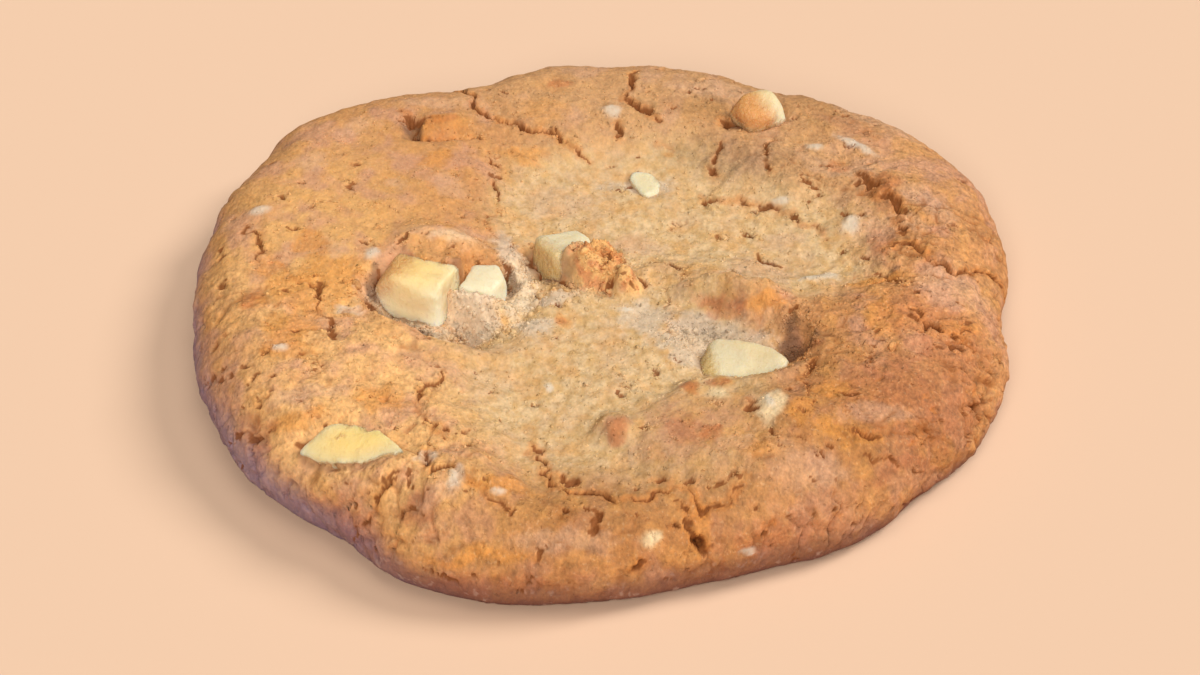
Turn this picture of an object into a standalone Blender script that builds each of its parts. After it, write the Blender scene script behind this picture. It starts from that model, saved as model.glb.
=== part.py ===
"""A white chocolate cookie: one baked body, with chunks of white chocolate seated in its top.

Sizes are in millimetres, and MM turns them into metres where a mesh is made. The cookie lies flat
on its sole at z = 0, with the middle of its outline over the origin.

The skin of the body is worked out as if it were peeled off in one sheet and laid flat. A point
(u, v) of the sheet lies that far from the middle, measured along the surface: over the top, round
the rim, and under to the edge of the sole. Swells, hollows, cracks and seats have their places on
the sheet, and each one moves the surface along its own normal.
"""

import math

import bmesh
import bpy
import numpy as np
from mathutils import Euler, Vector
from mathutils.geometry import delaunay_2d_cdt

MM = 0.001

# The body.
RADIUS = 44.1
TOP_HEIGHT = 9.8  # of the ring just inside the rim
RIM_ROUND = 8.0  # width of the band in which the top rounds over into the side
BELLY_HEIGHT = 3.5  # height of the widest line
UNDERCUT = 2.5  # how far the side draws in from there to the sole

# Bulges and dents of the outline: bearing and half width in degrees, and rise.
OUTLINE_LOBES = [
    (32, 20, 3.1),
    (140, 23, 2.7),
    (113, 9.5, -2.5),
    (278, 38, -2.5),
    (254, 21, 2.6),
    (232, 6, -1.1),
    (359, 9, -1.4),
    (354, 5, -0.5),
    (10, 4.5, 0.6),
    (148, 4.5, -0.8),
    (306, 6, 0.6),
    (320.5, 5, -0.5),
]

# The middle sank as it cooled: three overlapping ellipses, as u, v, half length, half width, turn.
SUNK_DEPTH = 2.2
SUNK_EDGE = 8
SUNK_PARTS = [(3, 13, 14.5, 12, 0), (16, 8, 14, 10, -28), (1, -16, 16, 20, 8)]

# Swells and hollows: u, v, half length, half width, turn in degrees, rise, and edge, the steeper
# the higher.
SWELLS = [
    (-28, 10, 14, 24, 0, 0.5, 4),  # left plateau
    (-25, -21, 12, 12, 0, 0.3, 4),  # near left plateau
    (1, 37, 17, 9, 0, 0.4, 5),  # slab at the back
    (31, -10, 9, 18, 0, 0.4, 4),  # right plateau
    (12, -26.5, 9.5, 7.5, 0, 2.1, 6),  # lump in front of the sunk middle
    (11, -18, 4, 1.6, 10, 0.9, 3),  # ridge on that lump
    (1, -25.3, 1.9, 2.3, 0, 1.7, 4),  # knob at its left end
    (-13.5, -34, 4.6, 3.0, 10, 0.9, 4),  # smooth lump at the near left
    (14.2, -3.6, 5.0, 1.7, -14, 1.9, 6),  # browned ledge right of the middle
    (14.6, -0.8, 5.6, 3.6, -14, 0.9, 3),  # ground that rises to it from behind
    (14.5, -10, 6.5, 3.6, -10, -1.2, 6),  # hollow under the ledge
    (19.4, -11.4, 1.9, 2.6, 20, -0.9, 4),  # its deep right end
    (17.4, -17.9, 3.0, 1.4, 24, 0.8, 4),  # lip of dough in front of that chunk
    (31.5, 15.5, 3.6, 4.8, 20, 0.7, 3),  # browned lump at the back right
    (-0.7, 2.4, 2.9, 2.4, 15, 2.8, 5),  # browned crumb that covers half of a chunk
    (2.2, -0.4, 1.6, 1.3, 0, 1.3, 4),  # small crumb beside it
    (-17.7, 4.3, 4.6, 2.6, -12, 1.9, 4),  # hump behind the large chunk
    (-18.2, 27.4, 3.6, 1.4, 8, 0.7, 4),  # raised flap where the top tore open
    (-21.4, 26.4, 0.9, 2.0, -10, -1.4, 4),  # hole at its left end
    (-18.4, 24.6, 3.6, 1.0, 8, -0.9, 4),  # gap below it
    (-18.6, -6.4, 6.4, 3.2, -27, -2.9, 6),  # gap in front of the large chunk
    (-12, -8.5, 3.4, 3.4, 0, -0.9, 4),  # mealy hollow at the left of the middle
    (-8.8, -1, 2.6, 5.6, -8, -1.0, 4),  # mealy channel between two chunks
    (24, -21, 4, 4, 0, 0.5, 3),  # swell at the right
]

# Unevenness of the whole skin: size of the lumps, height, seed.
UNEVENNESS = [(9.0, 0.35, 11), (4.0, 0.22, 12)]

# Small bits of chocolate stuck flush in the dough: u, v, half length, half width, turn, rise.
BIT_EDGE = 4
BITS = [
    (27.2, 9.0, 1.7, 1.1, 70, 0.6),
    (23.1, -2.2, 1.9, 1.2, 15, 0.6),
    (16.8, -22.8, 1.3, 2.0, 5, 0.7),
    (0.8, 30.3, 1.4, 1.1, 0, 0.6),
]

# Cracks: the path, the width, the depth, and the lift of the ground left of the path.
CRACKS = [
    ([(-18, 41), (-15.1, 33.5), (-11, 28), (-4.9, 24.8), (-1.3, 22.4)], 1.5, 1.9, 0.6),
    ([(-22.2, 29.5), (-21.4, 24.5)], 1.6, 1.6, 0),
    ([(3.8, 38), (3, 32), (6.5, 27.8)], 1.3, 1.6, 0.3),
    ([(2.2, 27.8), (2.2, 25.6)], 1.4, 1.3, 0),
    ([(13.3, 24.6), (12.7, 19.2)], 1.1, 1.3, 0),
    ([(19.1, 24), (18.7, 18.6)], 1.1, 1.2, 0.3),
    ([(11, 16.2), (11.4, 14.6), (17.3, 13.2), (23.8, 9.8), (24.3, 7.6)], 1.1, 1.3, 0.4),
    ([(28.3, 17.4), (30.4, 12.5), (32.7, 5.8)], 1.9, 2.4, 0.9),
    ([(30.3, 4), (35.5, 1.1), (38.8, 0.7), (41.5, 2.3), (47, 2.6)], 1.4, 1.7, 0),
    ([(-7.3, -28), (-5.8, -32), (-3.5, -35), (5.6, -34.9), (13.5, -34.6)], 1.4, 1.6, 0),
    ([(-16.6, -17), (-17.8, -24.7), (-15.7, -28.3)], 1.1, 1.3, 0),
    ([(-17.8, -30.2), (-16.7, -34), (-9.4, -38.3)], 1.2, 1.3, 0.3),
    ([(7.1, -36.2), (8.5, -39.5), (11.4, -43)], 1.3, 1.5, 0),
    ([(-19.9, -33.2), (-22.6, -36.5), (-27.3, -39.4)], 1.2, 1.3, 0),
    ([(-38.3, 8.2), (-33.5, -0.8), (-28.4, -9.8)], 1.1, 1.1, 0),
    ([(32.3, -7.4), (35.3, -11.3), (38, -12.8)], 1.2, 1.3, 0),
    ([(20.8, -13.5), (20.9, -21)], 1.3, 1.4, 0),
    ([(-12.6, 22.4), (-10.6, 19), (-11.7, 13.5), (-11.4, 6.8)], 1.0, 1.0, 0),
]
CRACK_SEED = 5
CRACK_ENDS = 0.2  # share of a crack over which it runs out, at each end
CRACK_TIP = 0.25  # share of its depth that is left at the very end
CRACK_STRAY = 0.13  # sideways wander of a crack, as a share of its stretch
LIFT_REACH = 6.0  # how far from a crack its lift dies away

# Chunks of white chocolate: the centre, the size, the tilt and turn in degrees, the planes that cut
# corners off, as a direction in the chunk's own axes and the distance from its centre, and how much
# lower the dough lies under and round it.
CHUNKS = {
    "chunk_large": {
        "centre": (-19.4, -0.9, 7.3),
        "size": (7.7, 7.8, 7.0),
        "turn": (-8, -3, -22),
        "cuts": [((-1, 1, 0.5), 4.9), ((1, 1, 0.2), 4.8), ((0.2, -1, 1), 4.7), ((-1, -0.2, 1), 4.5)],
        "seat": 0.9,
    },
    "chunk_beside": {
        "centre": (-12.9, -0.6, 6.9),
        "size": (5.6, 5.2, 4.8),
        "turn": (6, 6, 6),
        "cuts": [
            ((-0.87, 0.45, -0.19), 1.67),
            ((1, 0.25, 0.3), 2.86),
            ((1, -0.74, 0.3), 2.28),
            ((-0.1, -1, 0.5), 2.65),
        ],
        "seat": 1.5,
    },
    "chunk_edge": {
        "centre": (-24.8, -28.1, 7.9),
        "size": (12.4, 6.0, 3.4),
        "turn": (8, -10, -3),
        "cuts": [
            ((-1, 0.9, 0.1), 4.0),
            ((0.4, 1, 0.1), 2.6),
            ((1, 0.8, 0.1), 3.2),
            ((-1, -2, 0.5), 3.2),
            ((0, -1, 1), 3.1),
        ],
        "seat": 0.5,
    },
    "chunk_pocket": {
        "centre": (14.7, -13.6, 6.4),
        "size": (9.4, 5.8, 4.4),
        "turn": (12, -4, -17),
        "cuts": [((1, -1, 0), 4.4), ((-1, 0, 0.8), 4.2), ((1, 1.6, 0.4), 3.9)],
        "seat": 0.9,
    },
    "chunk_middle": {
        "centre": (-3.8, 4.3, 6.9),
        "size": (6.2, 6.6, 5.6),
        "turn": (-6, 10, 32),
        "cuts": [((-1, -1, 0.4), 3.7), ((-1, 1, 0), 3.9), ((0.5, -1, 0.2), 1.6)],
        "seat": 0.9,
    },
    "chunk_rim": {
        "centre": (17.7, 29.2, 9.5),
        "size": (5.2, 5.0, 5.0),
        "turn": (10, -8, 35),
        "cuts": [((1, 1, 1), 3.2), ((-1, 1, 1), 3.1), ((-1, -1, 0.8), 3.0), ((1, -1, 1), 3.1)],
        "seat": 0.7,
    },
    "chunk_far": {
        "centre": (4.8, 18.8, 6.4),
        "size": (3.2, 5.0, 3.4),
        "turn": (0, 0, 28),
        "cuts": [((-1, 1, 0), 2.1), ((1, -1, 0.3), 2.1), ((1, 1, 0.6), 2.3)],
        "seat": 0.3,
    },
}
CHUNK_ROUND = 0.5
SEAT_GAP = 0.3
SEAT_EDGE = 8
SEAT_MARGIN = 0.7  # how far the hollow round a chunk reaches past it

# Fineness of the skin: distance between its points, along a crack and on the sole. Points keep a
# share of the grid apart, less beside a crack, and are shifted a little so that no rows show.
GRID = 1.62
CRACK_STEP = 1.2
SOLE_GRID = 8.0
CRACK_APART = 0.42
GRID_APART = 0.62
GRID_SHIFT = 0.22
RIM_POINTS = 168
RIM_CLEAR = 0.98  # share of the sheet within which the grid ends, inside the rim points
SOLE_CLEAR = 0.9
SHIFT_SEED = 3
RANDOM_TABLE = 64  # rows and columns of the random numbers behind the unevenness

# Finishes: colour and roughness.
DOUGH = ((0.62, 0.36, 0.14), 0.85)
CHOCOLATE = ((0.83, 0.68, 0.40), 0.45)
SHARP_EDGE = 40  # degrees between faces from which an edge of a chunk looks sharp


def quarter_ellipse(across, high):
    """Length of a quarter of an ellipse, by Ramanujan's formula."""
    return math.pi / 4 * (
        3 * (across + high) - math.sqrt((3 * across + high) * (across + 3 * high))
    )


SHOULDER_ARC = quarter_ellipse(RIM_ROUND, TOP_HEIGHT - BELLY_HEIGHT)
UNDER_ARC = quarter_ellipse(UNDERCUT, BELLY_HEIGHT)


def outline(bearing):
    """Radius of the cookie's widest line at each bearing."""
    radius = np.full_like(bearing, RADIUS)
    for middle, half_width, rise in OUTLINE_LOBES:
        away = (np.degrees(bearing) - middle + 180) % 360 - 180
        radius += rise * np.exp(-((away / half_width) ** 2))
    return radius


def sheet_edge(bearing):
    """Radius of the peeled skin, out to the edge of the sole."""
    return outline(bearing) - RIM_ROUND + SHOULDER_ARC + UNDER_ARC


def mound(u, v, place, edge):
    """1 in the middle of an ellipse, a half on its line and 0 outside it."""
    middle_u, middle_v, half_length, half_width, turn = place
    angle = math.radians(turn)
    du, dv = u - middle_u, v - middle_v
    along = (du * math.cos(angle) + dv * math.sin(angle)) / half_length
    across = (dv * math.cos(angle) - du * math.sin(angle)) / half_width
    return 0.5 ** (np.hypot(along, across) ** edge)


def uneven(u, v, size, seed):
    """A smooth random field from -1 to 1, with lumps of about the given size."""
    table = np.random.default_rng(seed).uniform(-1, 1, (RANDOM_TABLE, RANDOM_TABLE))
    column, row = np.floor(u / size).astype(int), np.floor(v / size).astype(int)
    right, up = u / size - column, v / size - row
    right, up = right * right * (3 - 2 * right), up * up * (3 - 2 * up)
    corners = [
        [table[(row + j) % RANDOM_TABLE, (column + i) % RANDOM_TABLE] for i in (0, 1)]
        for j in (0, 1)
    ]
    lower = corners[0][0] * (1 - right) + corners[0][1] * right
    upper = corners[1][0] * (1 - right) + corners[1][1] * right
    return lower * (1 - up) + upper * up


def wander(path, rounds, seed):
    """The path with each stretch halved a few times, and each new point moved sideways."""
    draw = np.random.default_rng(seed)
    points = np.array(path, float)
    for _ in range(rounds):
        start, end = points[:-1], points[1:]
        sideways = np.stack([start[:, 1] - end[:, 1], end[:, 0] - start[:, 0]], axis=1)
        halfway = (start + end) / 2 + sideways * draw.normal(0, CRACK_STRAY, (len(start), 1))
        points = np.insert(points, np.arange(1, len(points)), halfway, axis=0)
    return points


def crack_paths():
    """Every crack as its wandering path, width, depth and lift."""
    return [
        (wander(path, 2, CRACK_SEED + number), width, depth, lift)
        for number, (path, width, depth, lift) in enumerate(CRACKS)
    ]


def beside(u, v, path):
    """Distance from the path, the side (1 left, -1 right), and how far along it, from 0 to 1."""
    nearest, side, along = np.full(len(u), np.inf), np.zeros(len(u)), np.zeros(len(u))
    stretches = len(path) - 1
    for number, ((u0, v0), (u1, v1)) in enumerate(zip(path[:-1], path[1:])):
        du, dv = u1 - u0, v1 - v0
        share = np.clip(((u - u0) * du + (v - v0) * dv) / (du * du + dv * dv), 0, 1)
        distance = np.hypot(u - u0 - share * du, v - v0 - share * dv)
        closer = distance < nearest
        nearest[closer] = distance[closer]
        side[closer] = np.sign(du * (v - v0) - dv * (u - u0))[closer]
        along[closer] = (number + share[closer]) / stretches
    return nearest, side, along


def crack_relief(u, v):
    """Grooves of all cracks, and the ground that one of their sides lifts."""
    rise = np.zeros(len(u))
    for path, width, depth, lift in crack_paths():
        distance, side, along = beside(u, v, path)
        ends = np.clip(np.minimum(along, 1 - along) / CRACK_ENDS, CRACK_TIP, 1)
        rise -= depth * ends * np.clip(1 - distance / width, 0, 1)
        rise += lift * ends * (side > 0) * np.exp(-((distance / LIFT_REACH) ** 2))
    return rise


def seats():
    """Hollows for the chunks: the place, a little larger than the chunk, and the depth."""
    for chunk in CHUNKS.values():
        x, y, _ = chunk["centre"]
        length, width, _ = chunk["size"]
        room = (length / 2 + SEAT_MARGIN, width / 2 + SEAT_MARGIN)
        yield (x, y, *room, chunk["turn"][2]), chunk["seat"]


def relief(u, v):
    """How far the surface stands out from the plain rounded form."""
    rise = -SUNK_DEPTH * np.maximum.reduce([mound(u, v, part, SUNK_EDGE) for part in SUNK_PARTS])
    for *place, height, edge in SWELLS:
        rise += height * mound(u, v, place, edge)
    for *place, height in BITS:
        rise += height * mound(u, v, place, BIT_EDGE)
    for size, height, seed in UNEVENNESS:
        rise += height * uneven(u, v, size, seed)
    rise += crack_relief(u, v)
    for seat, depth in seats():
        rise -= depth * mound(u, v, seat, SEAT_EDGE)
    return rise


def surface(u, v):
    """Points in space for points of the peeled skin."""
    bearing, reach = np.arctan2(v, u), np.hypot(u, v)
    radius = outline(bearing)
    flat = radius - RIM_ROUND
    over = np.clip((reach - flat) / SHOULDER_ARC, 0, 1) * math.pi / 2
    under = np.clip((reach - flat - SHOULDER_ARC) / UNDER_ARC, 0, 1) * math.pi / 2
    out = np.where(reach < flat, reach, flat + RIM_ROUND * np.sin(over))
    out -= UNDERCUT * (1 - np.cos(under))
    high = BELLY_HEIGHT + (TOP_HEIGHT - BELLY_HEIGHT) * np.cos(over)
    high -= BELLY_HEIGHT * np.sin(under)
    to_sole = sheet_edge(bearing) - reach
    rise = relief(u, v) * np.clip(to_sole / UNDER_ARC, 0, 1)
    tilt = over + under * 0.5
    out += rise * np.sin(tilt)
    high += rise * np.cos(tilt)
    return np.stack([out * np.cos(bearing), out * np.sin(bearing), high], axis=1)


def lattice(step, edge_share, jitter):
    """Points of a triangular lattice on the skin, within a share of its radius."""
    draw = np.random.default_rng(SHIFT_SEED)
    rows = int((RADIUS + SHOULDER_ARC) / step * 2 / math.sqrt(3)) + 2
    row, column = np.mgrid[-rows : rows + 1, -rows : rows + 1]
    u = (column + 0.5 * (row % 2)).ravel() * step
    v = row.ravel() * step * math.sqrt(3) / 2
    points = np.stack([u, v], axis=1) + draw.uniform(-jitter, jitter, (u.size, 2))
    limit = sheet_edge(np.arctan2(points[:, 1], points[:, 0])) * edge_share
    return points[np.hypot(*points.T) < limit]


def crack_rows():
    """Points down the middle of every crack and along both of its lips."""
    rows = []
    for path, width, _, _ in crack_paths():
        steps = np.hypot(*np.diff(path, axis=0).T)
        length = np.concatenate([[0], np.cumsum(steps)])
        places = np.linspace(0, length[-1], max(3, round(length[-1] / CRACK_STEP) + 1))
        middle = np.stack([np.interp(places, length, path[:, k]) for k in (0, 1)], axis=1)
        ahead = np.gradient(middle, axis=0)
        ahead /= np.hypot(*ahead.T)[:, None]
        lip = np.stack([-ahead[:, 1], ahead[:, 0]], axis=1) * width
        rows += [middle, middle + lip, middle - lip]
    return np.concatenate(rows)


def spread_out(kept, more, apart):
    """The points of the second set that keep their distance from all before them."""
    kept = list(map(tuple, kept))
    cells = {}
    for point in kept:
        cells.setdefault((point[0] // apart, point[1] // apart), []).append(point)
    for u, v in more:
        column, row = u // apart, v // apart
        near = [
            other
            for i in (-1, 0, 1)
            for j in (-1, 0, 1)
            for other in cells.get((column + i, row + j), [])
        ]
        if all(math.hypot(u - a, v - b) > apart for a, b in near):
            kept.append((u, v))
            cells.setdefault((column, row), []).append((u, v))
    return np.array(kept)


def triangles(points):
    """Triangles over points of the skin, pulled to a round sheet so that its edge is convex."""
    round_sheet = points / sheet_edge(np.arctan2(points[:, 1], points[:, 0]))[:, None]
    found = delaunay_2d_cdt([Vector(p) for p in round_sheet], [], [], 0, 1e-7)
    return [tuple(found[3][corner][0] for corner in face) for face in found[2]]


def skin_mesh():
    """Corners and faces of the whole closed body."""
    bearing = np.arange(RIM_POINTS) * 2 * math.pi / RIM_POINTS
    rim = sheet_edge(bearing)[:, None] * np.stack([np.cos(bearing), np.sin(bearing)], axis=1)
    points = spread_out(rim, crack_rows(), CRACK_APART * GRID)
    points = spread_out(points, lattice(GRID, RIM_CLEAR, GRID_SHIFT), GRID_APART * GRID)
    corners = surface(points[:, 0], points[:, 1])
    sole = np.concatenate([rim, lattice(SOLE_GRID, SOLE_CLEAR, 0)])
    under = np.zeros((len(sole) - RIM_POINTS, 3))
    under[:, :2] = sole[RIM_POINTS:] * (RADIUS - UNDERCUT) / (RADIUS + SHOULDER_ARC)
    index = [*range(RIM_POINTS), *range(len(corners), len(corners) + len(under))]
    faces = triangles(points)
    faces += [tuple(index[corner] for corner in reversed(face)) for face in triangles(sole)]
    return np.concatenate([corners, under]), faces


def material(name, colour, roughness):
    """A plain food material."""
    made = bpy.data.materials.new(name)
    made.use_nodes = True
    shader = made.node_tree.nodes["Principled BSDF"]
    shader.inputs["Base Color"].default_value = (*colour, 1)
    shader.inputs["Roughness"].default_value = roughness
    shader.inputs["Metallic"].default_value = 0
    return made


def chunk_object(name, chunk, grow):
    """A chunk, or with grow the room that it needs: a block with cut corners and soft edges."""
    mesh = bpy.data.meshes.new(name)
    shape = bmesh.new()
    bmesh.ops.create_cube(shape, size=1)
    size = Vector(chunk["size"]) + Vector((2, 2, 2)) * grow
    bmesh.ops.scale(shape, vec=size * MM, verts=shape.verts)
    for direction, distance in chunk["cuts"]:
        normal = Vector(direction).normalized()
        everything = shape.verts[:] + shape.edges[:] + shape.faces[:]
        cut = bmesh.ops.bisect_plane(
            shape,
            geom=everything,
            plane_co=normal * (distance + grow) * MM,
            plane_no=normal,
            clear_outer=True,
        )
        edges = [item for item in cut["geom_cut"] if isinstance(item, bmesh.types.BMEdge)]
        bmesh.ops.contextual_create(shape, geom=edges)
    bmesh.ops.remove_doubles(shape, verts=shape.verts, dist=0.02 * MM)
    bmesh.ops.bevel(
        shape,
        geom=shape.edges[:],
        offset=(CHUNK_ROUND + grow) * MM,
        segments=2,
        profile=0.5,
        affect="EDGES",
        clamp_overlap=True,
    )
    bmesh.ops.triangulate(shape, faces=shape.faces)
    bmesh.ops.recalc_face_normals(shape, faces=shape.faces)
    shape.to_mesh(mesh)
    shape.free()
    made = bpy.data.objects.new(name, mesh)
    made.location = Vector(chunk["centre"]) * MM
    made.rotation_euler = Euler([math.radians(angle) for angle in chunk["turn"]])
    bpy.context.scene.collection.objects.link(made)
    return made


def build_chunks():
    """The chunks of white chocolate, all of one material."""
    chocolate = material("white_chocolate", *CHOCOLATE)
    for name, chunk in CHUNKS.items():
        made = chunk_object(name, chunk, 0)
        made.data.materials.append(chocolate)
        made.data.shade_smooth()
        made.data.set_sharp_from_angle(angle=math.radians(SHARP_EDGE))


def build_body():
    """The baked body, with a pocket cut for each chunk."""
    corners, faces = skin_mesh()
    mesh = bpy.data.meshes.new("cookie_body")
    mesh.from_pydata((corners * MM).tolist(), [], faces)
    body = bpy.data.objects.new("cookie_body", mesh)
    bpy.context.scene.collection.objects.link(body)
    mesh.materials.append(material("baked_dough", *DOUGH))
    for name, chunk in CHUNKS.items():
        pocket = chunk_object("pocket_for_" + name, chunk, SEAT_GAP)
        pocket.hide_render = True
        pocket.display_type = "WIRE"
        cut = body.modifiers.new("pocket_for_" + name, "BOOLEAN")
        cut.operation = "DIFFERENCE"
        cut.object = pocket
    mesh.shade_smooth()


def main():
    for thing in list(bpy.data.objects):
        bpy.data.objects.remove(thing)
    build_chunks()
    build_body()


main()
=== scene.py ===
# %% [markdown]
# # A white chocolate cookie, from a plain solid to a baked surface
#
# A cookie is mostly surface. It spreads as a lump of dough, its rim rounds over and browns, its
# middle sinks while it cools, and its skin tears into cracks with a crumbly inside. This lesson
# starts from a measured solid of the cookie, makes the same form again with a much finer skin, and
# then gives that skin its small relief and its colours.
#
# The measured solid comes in from model.glb. Each piece made here is built from it or kept within
# its bounds, so that the finished cookie keeps its size and place.

# %% Load the measured solid
import math

import bmesh
import bpy
import numpy as np
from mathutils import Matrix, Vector
from mathutils.bvhtree import BVHTree


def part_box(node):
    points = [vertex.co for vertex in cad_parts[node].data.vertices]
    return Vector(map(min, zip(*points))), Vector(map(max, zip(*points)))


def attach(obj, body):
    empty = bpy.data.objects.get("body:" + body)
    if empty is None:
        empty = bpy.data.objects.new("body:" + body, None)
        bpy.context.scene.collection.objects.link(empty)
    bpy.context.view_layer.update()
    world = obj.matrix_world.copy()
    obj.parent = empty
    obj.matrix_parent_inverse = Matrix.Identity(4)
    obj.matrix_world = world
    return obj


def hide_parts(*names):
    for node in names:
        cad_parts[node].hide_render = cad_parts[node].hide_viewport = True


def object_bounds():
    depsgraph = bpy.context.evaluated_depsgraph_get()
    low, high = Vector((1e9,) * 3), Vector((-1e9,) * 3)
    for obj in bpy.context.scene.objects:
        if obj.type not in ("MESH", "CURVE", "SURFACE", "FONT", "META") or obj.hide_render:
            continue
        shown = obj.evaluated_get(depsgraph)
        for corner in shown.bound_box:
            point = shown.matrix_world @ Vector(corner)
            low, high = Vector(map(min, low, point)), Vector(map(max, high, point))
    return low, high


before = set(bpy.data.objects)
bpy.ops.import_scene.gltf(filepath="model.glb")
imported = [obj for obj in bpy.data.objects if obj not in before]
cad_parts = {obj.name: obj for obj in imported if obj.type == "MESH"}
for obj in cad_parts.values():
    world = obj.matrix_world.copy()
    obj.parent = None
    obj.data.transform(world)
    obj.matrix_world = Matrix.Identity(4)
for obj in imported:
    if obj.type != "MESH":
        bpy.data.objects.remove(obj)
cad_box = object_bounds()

MM = 0.001
low, high = (np.array(corner) / MM for corner in cad_box)
print("the solid measures", np.round(high - low, 1), "mm, from", np.round(low, 2))

# %% [markdown]
# ## The plain form
#
# A cookie could be a squashed sphere, or a disc with a bevel. The real one is neither: its outline
# is wavy, its top is nearly flat, and its side rounds over and draws in to a flat sole. It is easier
# to think of the skin as peeled off in one sheet. A point (u, v) of the sheet lies that many
# millimetres from the middle, measured along the surface: over the top, round the rim and under to
# the edge of the sole. Then every crack has a simple place on the sheet, also on the side.

# %% Sizes of the plain form, in millimetres
RADIUS = 44.1
TOP_HEIGHT = 9.8
RIM_ROUND = 8.0
BELLY_HEIGHT = 3.5
UNDERCUT = 2.5

# Bulges and dents of the outline: bearing and half width in degrees, and rise.
OUTLINE_LOBES = [
    (32, 20, 3.1),
    (140, 23, 2.7),
    (113, 9.5, -2.5),
    (278, 38, -2.5),
    (254, 21, 2.6),
    (232, 6, -1.1),
    (359, 9, -1.4),
    (354, 5, -0.5),
    (10, 4.5, 0.6),
    (148, 4.5, -0.8),
    (306, 6, 0.6),
    (320.5, 5, -0.5),
]


def quarter_ellipse(across, tall):
    """Length of a quarter of an ellipse, by a close formula."""
    root = math.sqrt((3 * across + tall) * (across + 3 * tall))
    return math.pi / 4 * (3 * (across + tall) - root)


SHOULDER_ARC = quarter_ellipse(RIM_ROUND, TOP_HEIGHT - BELLY_HEIGHT)
UNDER_ARC = quarter_ellipse(UNDERCUT, BELLY_HEIGHT)
print("the skin runs", round(SHOULDER_ARC, 1), "mm over the rim and", round(UNDER_ARC, 1), "mm under")


# %% From the sheet to points in space
def outline(bearing):
    """Radius of the cookie's widest line at each bearing."""
    radius = np.full_like(bearing, RADIUS)
    for middle, half_width, rise in OUTLINE_LOBES:
        away = (np.degrees(bearing) - middle + 180) % 360 - 180
        radius += rise * np.exp(-((away / half_width) ** 2))
    return radius


def sheet_edge(bearing):
    """Radius of the peeled skin, out to the edge of the sole."""
    return outline(bearing) - RIM_ROUND + SHOULDER_ARC + UNDER_ARC


def plain_form(u, v):
    """Points of the plain form, the directions straight out of it, and what is left to the sole."""
    bearing, reach = np.arctan2(v, u), np.hypot(u, v)
    radius = outline(bearing)
    flat = radius - RIM_ROUND
    over = np.clip((reach - flat) / SHOULDER_ARC, 0, 1) * math.pi / 2
    under = np.clip((reach - flat - SHOULDER_ARC) / UNDER_ARC, 0, 1) * math.pi / 2
    out = np.where(reach < flat, reach, flat + RIM_ROUND * np.sin(over))
    out -= UNDERCUT * (1 - np.cos(under))
    up = BELLY_HEIGHT + (TOP_HEIGHT - BELLY_HEIGHT) * np.cos(over)
    up -= BELLY_HEIGHT * np.sin(under)
    tilt = over + under * 0.5
    points = np.stack([out * np.cos(bearing), out * np.sin(bearing), up], axis=1)
    outward = np.stack(
        [np.sin(tilt) * np.cos(bearing), np.sin(tilt) * np.sin(bearing), np.cos(tilt)], axis=1
    )
    return points, outward, sheet_edge(bearing) - reach


# %% [markdown]
# ## Swells, hollows and the sunk middle
#
# Dough never lies evenly. Each rise or hollow here is an ellipse with a soft edge, which takes one
# line of numbers. A steep edge gives a small terrace, a soft one a gentle swell. The sunk middle is
# made of three ellipses that run into each other.

# %% Large relief
SUNK_DEPTH = 1.9
SUNK_EDGE = 5
SUNK_PARTS = [(3, 13, 14.5, 12, 0), (16, 8, 14, 10, -28), (1, -16, 16, 20, 8)]

# u, v, half length, half width, turn in degrees, rise, and how steep the edge is.
SWELLS = [
    (-28, 10, 14, 24, 0, 0.5, 4),  # left plateau
    (-25, -21, 12, 12, 0, 0.3, 4),  # near left plateau
    (1, 37, 17, 9, 0, 0.4, 5),  # slab at the back
    (31, -10, 9, 18, 0, 0.4, 4),  # right plateau
    (12, -26.5, 9.5, 7.5, 0, 2.1, 6),  # lump in front of the sunk middle
    (11, -18, 4, 1.6, 10, 0.9, 3),  # ridge on that lump
    (1, -25.3, 1.9, 2.3, 0, 1.7, 4),  # knob at its left end
    (-13.5, -34, 4.6, 3.0, 10, 0.9, 4),  # smooth lump at the near left
    (13.9, -3.3, 4.7, 1.6, -13, 1.6, 3.5),  # browned ledge right of the middle
    (14.6, -0.8, 5.6, 3.6, -14, 0.9, 3),  # ground that rises to it from behind
    (14.5, -10, 6.5, 3.6, -10, -1.2, 6),  # hollow under the ledge
    (19.4, -11.4, 1.9, 2.6, 20, -0.9, 4),  # its deep right end
    (17.4, -17.9, 3.0, 1.4, 24, 0.8, 4),  # lip of dough in front of that chunk
    (31.5, 15.5, 3.6, 4.8, 20, 0.7, 3),  # browned lump at the back right
    (-0.7, 2.4, 2.9, 2.4, 15, 2.8, 5),  # browned crumb that covers half of a chunk
    (2.2, -0.4, 1.6, 1.3, 0, 1.3, 4),  # small crumb beside it
    (-17.7, 4.3, 4.6, 2.6, -12, 1.5, 3),  # hump behind the large chunk
    (-18.2, 27.4, 3.6, 1.7, 8, 0.7, 2.5),  # raised flap where the top tore open
    (-21.4, 26.4, 0.9, 1.8, -10, -1.1, 3),  # hole at its left end
    (-18.4, 24.6, 3.6, 1.0, 8, -0.9, 4),  # gap below it
    (-18.6, -6.4, 6.4, 3.2, -27, -2.9, 6),  # gap in front of the large chunk
    (-12, -8.5, 3.4, 3.4, 0, -0.9, 4),  # mealy hollow at the left of the middle
    (-8.8, -1, 2.6, 5.6, -8, -1.0, 4),  # mealy channel between two chunks
    (24, -21, 4, 4, 0, 0.5, 3),  # swell at the right
]


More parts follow.
